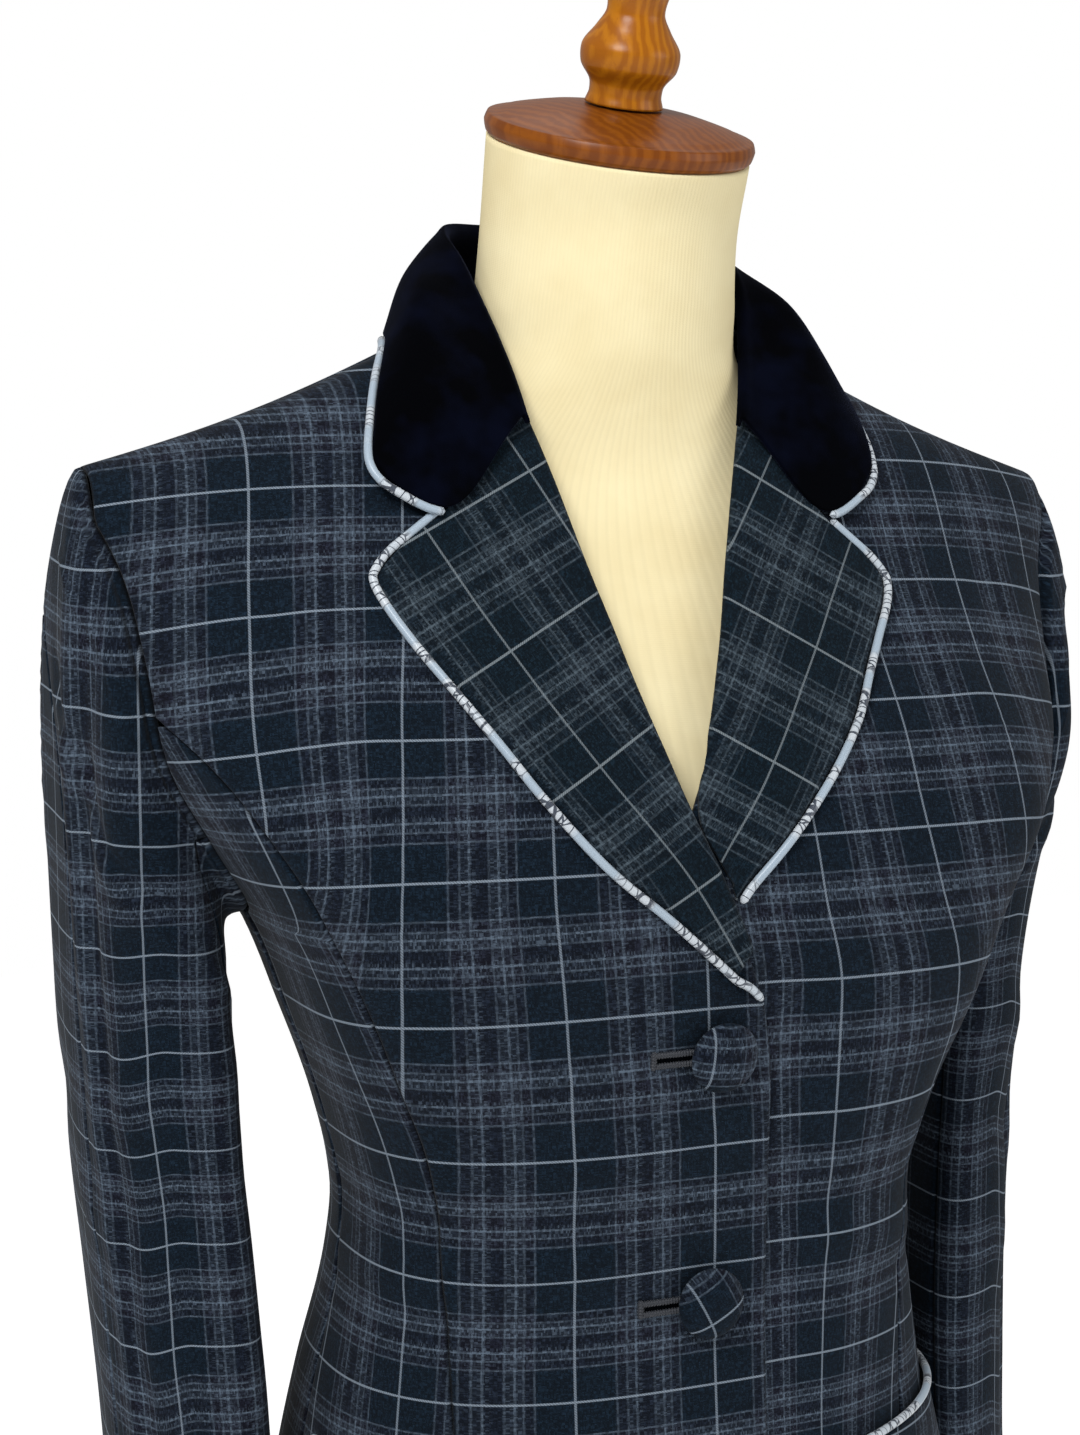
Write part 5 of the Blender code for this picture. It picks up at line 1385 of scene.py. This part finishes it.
# %% [markdown]
# ## Pocket flaps
# Each flap hangs from a slanting seam on the front, and a cord covers the
# seam. The flap is made from the panel's own points, moved out, so it bends
# with the body.

# %% Pocket flaps
POCKET = table("x z", (0.056, -0.072), (0.1345, -0.064))     # both ends of the pocket's seam
FLAP_HEIGHT = 0.045
FLAP_ROWS = table(
    "down  trim    lift", (0.00, 0.0005, 0.0000), (0.35, 0.0005, 0.0010), (0.70, 0.0010, 0.0020),
    (0.92, 0.0040, 0.0026), (1.00, 0.0100, 0.0028))
POCKET_CORD_LIE = PIPING_RADIUS + 0.0014


def hip_line(down, trim, count):
    """Points x, z on the pocket's line, `down` below its seam and `trim`
    short of both ends."""
    (front_x, back_x), (front_z, back_z) = POCKET["x"], POCKET["z"]
    width = back_x - front_x
    x = front_x + trim + (width - 2 * trim) * np.linspace(0, 1, count)
    return x, front_z + (back_z - front_z) * (x - front_x) / width - down


shares = np.linspace(0, 1, 26)
trims = through(FLAP_ROWS, "down", "trim", shares)
flap_x, flap_z = np.swapaxes([hip_line(share * FLAP_HEIGHT, trim, 60)
                              for share, trim in zip(shares, trims)], 0, 1)
flap_normals = normal_at(front_y, flap_x, flap_z)
lift = LIE + smooth(shares, FLAP_ROWS["down"], FLAP_ROWS["lift"])[:, None]
flap = on_body(front_y, flap_x, flap_z, lift)
cord_x, cord_z = hip_line(-PIPING_RADIUS - PIPE_GAP, 0.0, 30)
cord = on_body(front_y, cord_x, cord_z, POCKET_CORD_LIE)
for label, side, rows, columns in (("right", -1, RIGHT_ROWS, RIGHT_COLUMNS),
                                   ("left", 1, LEFT_ROWS, LEFT_COLUMNS)):
    mirror = (side, 1, 1)
    uv = (check_column(columns, side * flap_x, flap_z), check_row(rows, flap_x, flap_z))
    sew(label + "_pocket_flap", "checked_wool", flap * mirror, flap_normals * mirror,
        np.stack(uv, axis=-1), WOOL)
    pipe(label + "_pocket", cord * mirror, normal_at(front_y, cord_x, cord_z) * mirror)

# %% [markdown]
# ## Turned shapes: buttons, cap, finial, pole and base
# A turned piece is a profile that goes once round an axis. A covered button
# is a small dome with the same cloth over it.

# %% Turning a profile
def lathe(name, profile, look, place, sides, corner):
    """A profile of (radius, height) pairs turned round its axis and moved by
    `place`. The profile is drawn finer: `corner` of a straight line and the
    rest of a smooth curve, whose heights stay within the profile's own."""
    profile = np.array(profile, float)
    run = lengths(profile)
    fine = np.unique(np.concatenate([np.linspace(0, run[-1], 90), run]))
    straight = np.stack([np.interp(fine, run, profile[:, k]) for k in range(2)], axis=-1)
    low, high = profile[:, 1].min(), profile[:, 1].max()
    profile = corner * straight + (1 - corner) * smooth(fine, run, profile)
    r, h = np.maximum(profile[:, :1], 0), np.clip(profile[:, 1:], low, high)
    turn = np.linspace(0, 2 * pi, sides + 1)[:-1]
    points = np.stack([r * np.cos(turn), r * np.sin(turn), h + 0 * turn], axis=-1)[1:-1]
    ends = np.array([(0, 0, h[0, 0]), (0, 0, h[-1, 0])])
    faces = [np.roll(part[:, ::-1], 1, axis=1) for part in tube_faces(len(points), sides)]
    points = np.concatenate([points.reshape(-1, 3), ends])
    uv = points[:, :2]
    points = points @ np.array(place.to_3x3()).T + np.array(place.translation)
    return mesh_object(name, points, faces, uv, look)


# %% Buttons
BUTTON_RADIUS, BUTTON_LIFT = 0.0140, 0.0006
BUTTON_PROFILE = (
    (0, 0.0092), (0.0040, 0.0090), (0.0075, 0.0084), (0.0105, 0.0073), (0.0128, 0.0055),
    (BUTTON_RADIUS, 0.0036), (0.0136, 0.0025), (0.0112, 0.0019), (0.0085, 0.0014),
    (0.0085, 0.0004), (0, 0.0004))
BUTTONS = (              # height, turn of its cloth, and what point of the check lies on its middle
    (0.100, 4, 0.14, 0.46), (0.0, -28, 0.10, 0.10), (-0.100, 12, 0.46, 0.16))
for number, (height, turn, u, v) in enumerate(BUTTONS, start=1):
    x, z = np.array([0.0]), np.array([height])
    facing = Vector(normal_at(front_y, x, z)[0]).to_track_quat("Z", "Y").to_matrix().to_4x4()
    place = Matrix.Translation(Vector(on_body(front_y, x, z, BUTTON_LIFT)[0])) @ facing
    turned = ((u, v, 0), (0, 0, radians(turn)), (1 / REPEAT, 1 / REPEAT, 1))
    look = checked_wool("covered_button_%d" % number, *WOOL_COLOURS, turned)
    keep(lathe("button_%d_cloth" % number, BUTTON_PROFILE, look, place, 72, 0.15),
         "button_%d" % number, "covered_button")
print("buttons: %d, %.0f mm across" % (len(BUTTONS), 2000 * BUTTON_RADIUS))

# %% [markdown]
# A buttonhole is a slit whose edges are covered with close stitches, and a
# bar closes its far end. One cord runs round the slit; its thickness swells
# at each stitch.

# %% Buttonholes
HOLE_FAR, HOLE_NEAR, HOLE_HALF = -0.0285, -0.0080, 0.0021
STITCH, STITCH_STEP, SWELL = 0.0012, 0.00022, 0.18
EDGE_CORD, BAR_CORD, BAR_PAST, THREAD_LIFT = 0.00135, 0.00145, 0.0016, 0.0006
SLIT_LIFT, SLIT_THICKNESS = 0.00012, 0.0006
THREAD_LOOK = Look("buttonhole_thread").finish(
    Base_Color=rgb(0.007, 0.010, 0.017), Roughness=0.6, Sheen_Weight=0.15)
# painted shadow: a near-black, matte sheet for the shade inside each buttonhole's slit
SLIT_SHADOW_LOOK = Look("buttonhole_shadow").finish(
    Base_Color=rgb(0.0015, 0.002, 0.003), Roughness=1.0, Specular_IOR_Level=0.0)
EXTRAS = []              # pieces that stand for no solid of their own


def stitched(name, x, z, radius):
    """A stitched cord on the right front through the points x, z. Its radius
    is R (1 - s + s cos(2 pi d / stitch)), with a swell s."""
    run = lengths(np.stack([x, z], axis=-1))
    fine = np.linspace(0, run[-1], int(run[-1] / STITCH_STEP))
    x, z = np.interp(fine, run, x), np.interp(fine, run, z)
    path, frames = on_body(front_y, x, z, THREAD_LIFT), normal_at(front_y, x, z)
    out = np.cross(unit(np.gradient(path, axis=0)), frames)
    turn = np.linspace(0, 2 * pi, 11)[:-1]
    size = rounded_ends(fine, radius) * (1 - SWELL + SWELL * np.cos(2 * pi * fine / STITCH))
    c, s = np.cos(turn)[None, :, None], np.sin(turn)[None, :, None]
    ring = (out[:, None] * c + frames[:, None] * s) * size[:, None, None]
    points = (path[:, None] + ring).reshape(-1, 3)
    index, _, quads = ring_quads(len(fine), len(turn))
    faces = [quads, index[:1, ::-1], index[-1:]]
    EXTRAS.append(mesh_object(name, points, faces, np.zeros((len(points), 2)), THREAD_LOOK))


for number, (height, *_) in enumerate(BUTTONS, start=1):
    name = "buttonhole_%d_" % number
    turn = np.linspace(-pi / 2, pi / 2, 9)
    x = np.concatenate([[HOLE_FAR], HOLE_NEAR + HOLE_HALF * np.cos(turn), [HOLE_FAR]])
    z = height + np.concatenate([[-HOLE_HALF], HOLE_HALF * np.sin(turn), [HOLE_HALF]])
    stitched(name + "edge", x, z, EDGE_CORD)
    bar = np.array((-1.0, 1.0)) * (HOLE_HALF + BAR_PAST)
    stitched(name + "bar", HOLE_FAR + 0 * bar, height + bar, BAR_CORD)
    across = height + HOLE_HALF * np.linspace(-1, 1, 3)
    x, z = np.meshgrid(np.linspace(HOLE_FAR, HOLE_NEAR, 12), across)
    # painted shadow: a near-black sheet in the slit stands for the shade inside it
    EXTRAS.append(cloth(name + "slit", on_body(front_y, x, z, SLIT_LIFT), normal_at(front_y, x, z),
                        (0.0, 0.0), SLIT_SHADOW_LOOK, SLIT_THICKNESS))
print("buttonholes: %d mm long, in %d pieces" % (1000 * (HOLE_NEAR - HOLE_FAR), len(EXTRAS)))

# %% [markdown]
# ## The form
# The padded form is an oval body that narrows into a neck. Knit cloth is
# drawn over it; it is a cushion shape with the same sections as the solid.

# %% Measures of the form, its cap, its finial and its stand
CAP_Z, CAP_Y, CAP_TILT = 0.455, -0.030, radians(19)
FORM = table(
    "z       half_width  middle   half_depth  squareness",
    (-0.260, 0.128, 0.006, 0.118, 2.2), (-0.200, 0.134, 0.003, 0.124, 2.2),
    (-0.100, 0.126, -0.004, 0.106, 2.2), (-0.050, 0.118, -0.011, 0.093, 2.2),
    (0.000, 0.110, -0.018, 0.084, 2.2), (0.030, 0.109, -0.020, 0.083, 2.2),
    (0.100, 0.126, -0.018, 0.092, 2.2), (0.160, 0.142, -0.013, 0.104, 2.2),
    (0.200, 0.152, -0.009, 0.102, 2.2), (0.250, 0.154, -0.002, 0.084, 2.2),
    (0.300, 0.138, 0.002, 0.062, 2.1), (0.330, 0.108, 0.000, 0.052, 2.0),
    (0.350, 0.078, -0.006, 0.049, 2.0), (0.370, 0.0590, -0.011, 0.0500, 2.0),
    (0.392, 0.0552, -0.0155, 0.0505, 2.0), (0.415, 0.0535, -0.0190, 0.0520, 2.0))
NECK_TOP, TOUCH = 0.0540, 0.0003     # radius of the neck's end, and the gap to the next piece
FORM_SIDES = 144
DRAWN_IN = np.array((0.0, 0.35, 0.7, 0.93))      # the last rings at both ends, drawn in to a point
CAP_PROFILE = (
    (0, 0.0170), (0.016, 0.0163), (0.034, 0.0140), (0.048, 0.0105), (0.0515, 0.0092),
    (0.0545, 0.0085), (0.0555, 0.0055), (0.0545, 0.0015), (0.0530, 0), (0, 0))
FINIAL_PROFILE = (
    (0, 0.077), (0.008, 0.0755), (0.015, 0.070), (0.0185, 0.060), (0.0170, 0.050),
    (0.0125, 0.0425), (0.0118, 0.036), (0.0150, 0.030), (0.0200, 0.022), (0.0195, 0.015),
    (0.0150, 0.008), (0.0148, 0.004), (0.0160, 0.0), (0, 0))
BASE_PROFILE = (
    (0, 0.032), (0.030, 0.032), (0.036, 0.029), (0.050, 0.026), (0.150, 0.022),
    (0.180, 0.017), (0.190, 0.009), (0.190, 0), (0, 0))
POLE_RADIUS = 0.0165


def form_surface():
    """Closed rings of the form from the bottom to the tilted neck top. A level
    ring is half width times |cos|^(2/p) and half depth times |sin|^(2/p)."""
    turn = np.linspace(0, 2 * pi, FORM_SIDES + 1)[:-1]
    c, s = np.cos(turn), np.sin(turn)
    power = 2 / FORM["squareness"][:, None]
    x = FORM["half_width"][:, None] * np.sign(c) * np.abs(c) ** power
    y = FORM["middle"][:, None] + FORM["half_depth"][:, None] * np.sign(s) * np.abs(s) ** power
    rings = np.stack(np.broadcast_arrays(x, y, FORM["z"][:, None]), axis=-1)
    tilt = np.array(Matrix.Rotation(CAP_TILT, 3, "X"))
    top = np.stack([c, s, 0 * c], axis=-1) * NECK_TOP @ tilt.T + (0, CAP_Y, CAP_Z - TOUCH)
    at = np.append(FORM["z"], CAP_Z)
    fine = np.concatenate([np.linspace(at[0], 0.30, 60)[:-1], np.linspace(0.30, at[-1], 70)])
    rings = smooth(fine, at, np.concatenate([rings, top[None]]))
    low, high = (ring.mean(axis=0) + (ring - ring.mean(axis=0)) * share[:, None, None]
                 for ring, share in ((rings[0], DRAWN_IN), (rings[-1], DRAWN_IN[::-1])))
    return np.concatenate([low, rings, high])


# %% The form and its stand
rings = form_surface()
inner = rings[1:-1]
down = lengths(inner, axis=0)
rounds = np.linspace(0, 1, FORM_SIDES + 1)[:-1][None] * 2 * pi * NECK_TOP
rounds = np.minimum(rounds, 2 * pi * NECK_TOP - rounds)
uv = np.stack(np.broadcast_arrays(rounds, down), axis=-1).reshape(-1, 2)
points = np.concatenate([inner.reshape(-1, 3), rings[[0, -1], 0]])
keep(mesh_object("form_knit", points, tube_faces(len(inner), FORM_SIDES),
                 np.concatenate([uv, [(0, 0), (0, 0)]]), KNIT), "form_torso", "cream_knit")

cap_place = Matrix.Translation((0, CAP_Y, CAP_Z)) @ Matrix.Rotation(CAP_TILT, 4, "X")
finial_place = cap_place @ Matrix.Translation((0, 0, CAP_PROFILE[0][1] + TOUCH))
pole_top, pole_bottom = FORM["z"][0] - TOUCH, BASE_PROFILE[0][1] + TOUCH - WAIST
pole_profile = ((0, pole_top), (POLE_RADIUS, pole_top),
                (POLE_RADIUS, pole_bottom), (0, pole_bottom))
base_profile = [(r, z - WAIST) for r, z in BASE_PROFILE]
upright = Matrix.Identity(4)
for name, profile, look, place, sides, corner, node, slot in (
        ("neck_cap_wood", CAP_PROFILE, CAP_WOOD, cap_place, 128, 0.6, "neck_cap", "stained_wood"),
        ("finial_wood", FINIAL_PROFILE, FINIAL_WOOD, finial_place, 96, 0.1, "finial", "amber_wood"),
        ("pole_wood", pole_profile, STAND_WOOD, upright, 48, 1.0, "pole", "stand_wood"),
        ("base_wood", base_profile, STAND_WOOD, upright, 128, 0.9, "base", "stand_wood")):
    keep(lathe(name, profile, look, place, sides, corner), node, slot)
print("pieces with the form and its stand:", len(PIECES))

# %% [markdown]
# ## Light, floor and camera
# Soft daylight comes from all sides. One large soft lamp stands in front, high
# up at the camera's left, as for a product picture on white.

# %% The studio
def lamp(name, place, target, size, power):
    data = bpy.data.lights.new(name, "AREA")
    data.shape, data.size, data.energy = "DISK", size, power
    obj = put(name, data)
    obj.location = place
    obj.rotation_euler = (Vector(target) - Vector(place)).to_track_quat("-Z", "Y").to_euler()


lamp("key", (-1.15, -1.15, 2.55), (0, 0, 1.25), 0.9, 39)
lamp("fill", (1.9, -1.8, 1.8), (0, 0, 1.2), 1.8, 20)
lamp("top", (0.2, 0.6, 3.2), (0, 0, 1.4), 1.6, 6)

ON_COAT, BEHIND = 0.36, 1.0      # the white of the room, as light and as what the camera sees
world = bpy.data.worlds.new("studio")
world.use_nodes = True
nodes, links = world.node_tree.nodes, world.node_tree.links
ray, level = nodes.new("ShaderNodeLightPath"), nodes.new("ShaderNodeMapRange")
level.inputs["To Min"].default_value, level.inputs["To Max"].default_value = ON_COAT, BEHIND
links.new(ray.outputs["Is Camera Ray"], level.inputs["Value"])
links.new(level.outputs["Result"], nodes["Background"].inputs["Strength"])
nodes["Background"].inputs["Color"].default_value = rgb(1.0, 1.0, 1.0)
bpy.context.scene.world = world
bpy.context.scene.view_settings.view_transform = "Standard"

# %% The floor and the camera
floor_mesh = bpy.data.meshes.new("floor")
floor_mesh.from_pydata([(-6, -6, 0), (6, -6, 0), (6, 6, 0), (-6, 6, 0)], [], [(0, 1, 2, 3)])
floor_mesh.materials.append(Look("floor").finish(
    Base_Color=rgb(0.80, 0.80, 0.80), Roughness=0.9,
    Emission_Color=rgb(1.0, 1.0, 1.0), Emission_Strength=0.70))
floor = put("floor", floor_mesh)

camera_data = bpy.data.cameras.new("camera")
camera_data.lens, camera_data.sensor_fit, camera_data.sensor_height = 58.93, "VERTICAL", 36.0
camera = put("camera", camera_data)
YAW, PITCH, ROLL = radians(22.7), radians(4.8), radians(-0.2)
camera.matrix_world = (
    Matrix.Translation((-0.405, -0.914, 0.304 + WAIST)) @ Matrix.Rotation(-YAW, 4, "Z")
    @ Matrix.Rotation(pi / 2 - PITCH, 4, "X") @ Matrix.Rotation(ROLL, 4, "Z"))
bpy.context.scene.camera = camera
print("camera %.2f m above the floor, lens %.1f mm" % (camera.matrix_world[2][3], camera_data.lens))

# %% [markdown]
# ## Ties to the solids
# Each piece takes the place of its solid, rides with the one body of the
# part, and says its material.

# %% Ties
for piece, node, slot in PIECES:
    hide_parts(node)
    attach(piece, "root")
for piece in EXTRAS:
    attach(piece, "root")
triangles = sum(sum(len(p.vertices) - 2 for p in piece.data.polygons) for piece, _, _ in PIECES)
print("pieces", len(PIECES), "triangles", triangles)
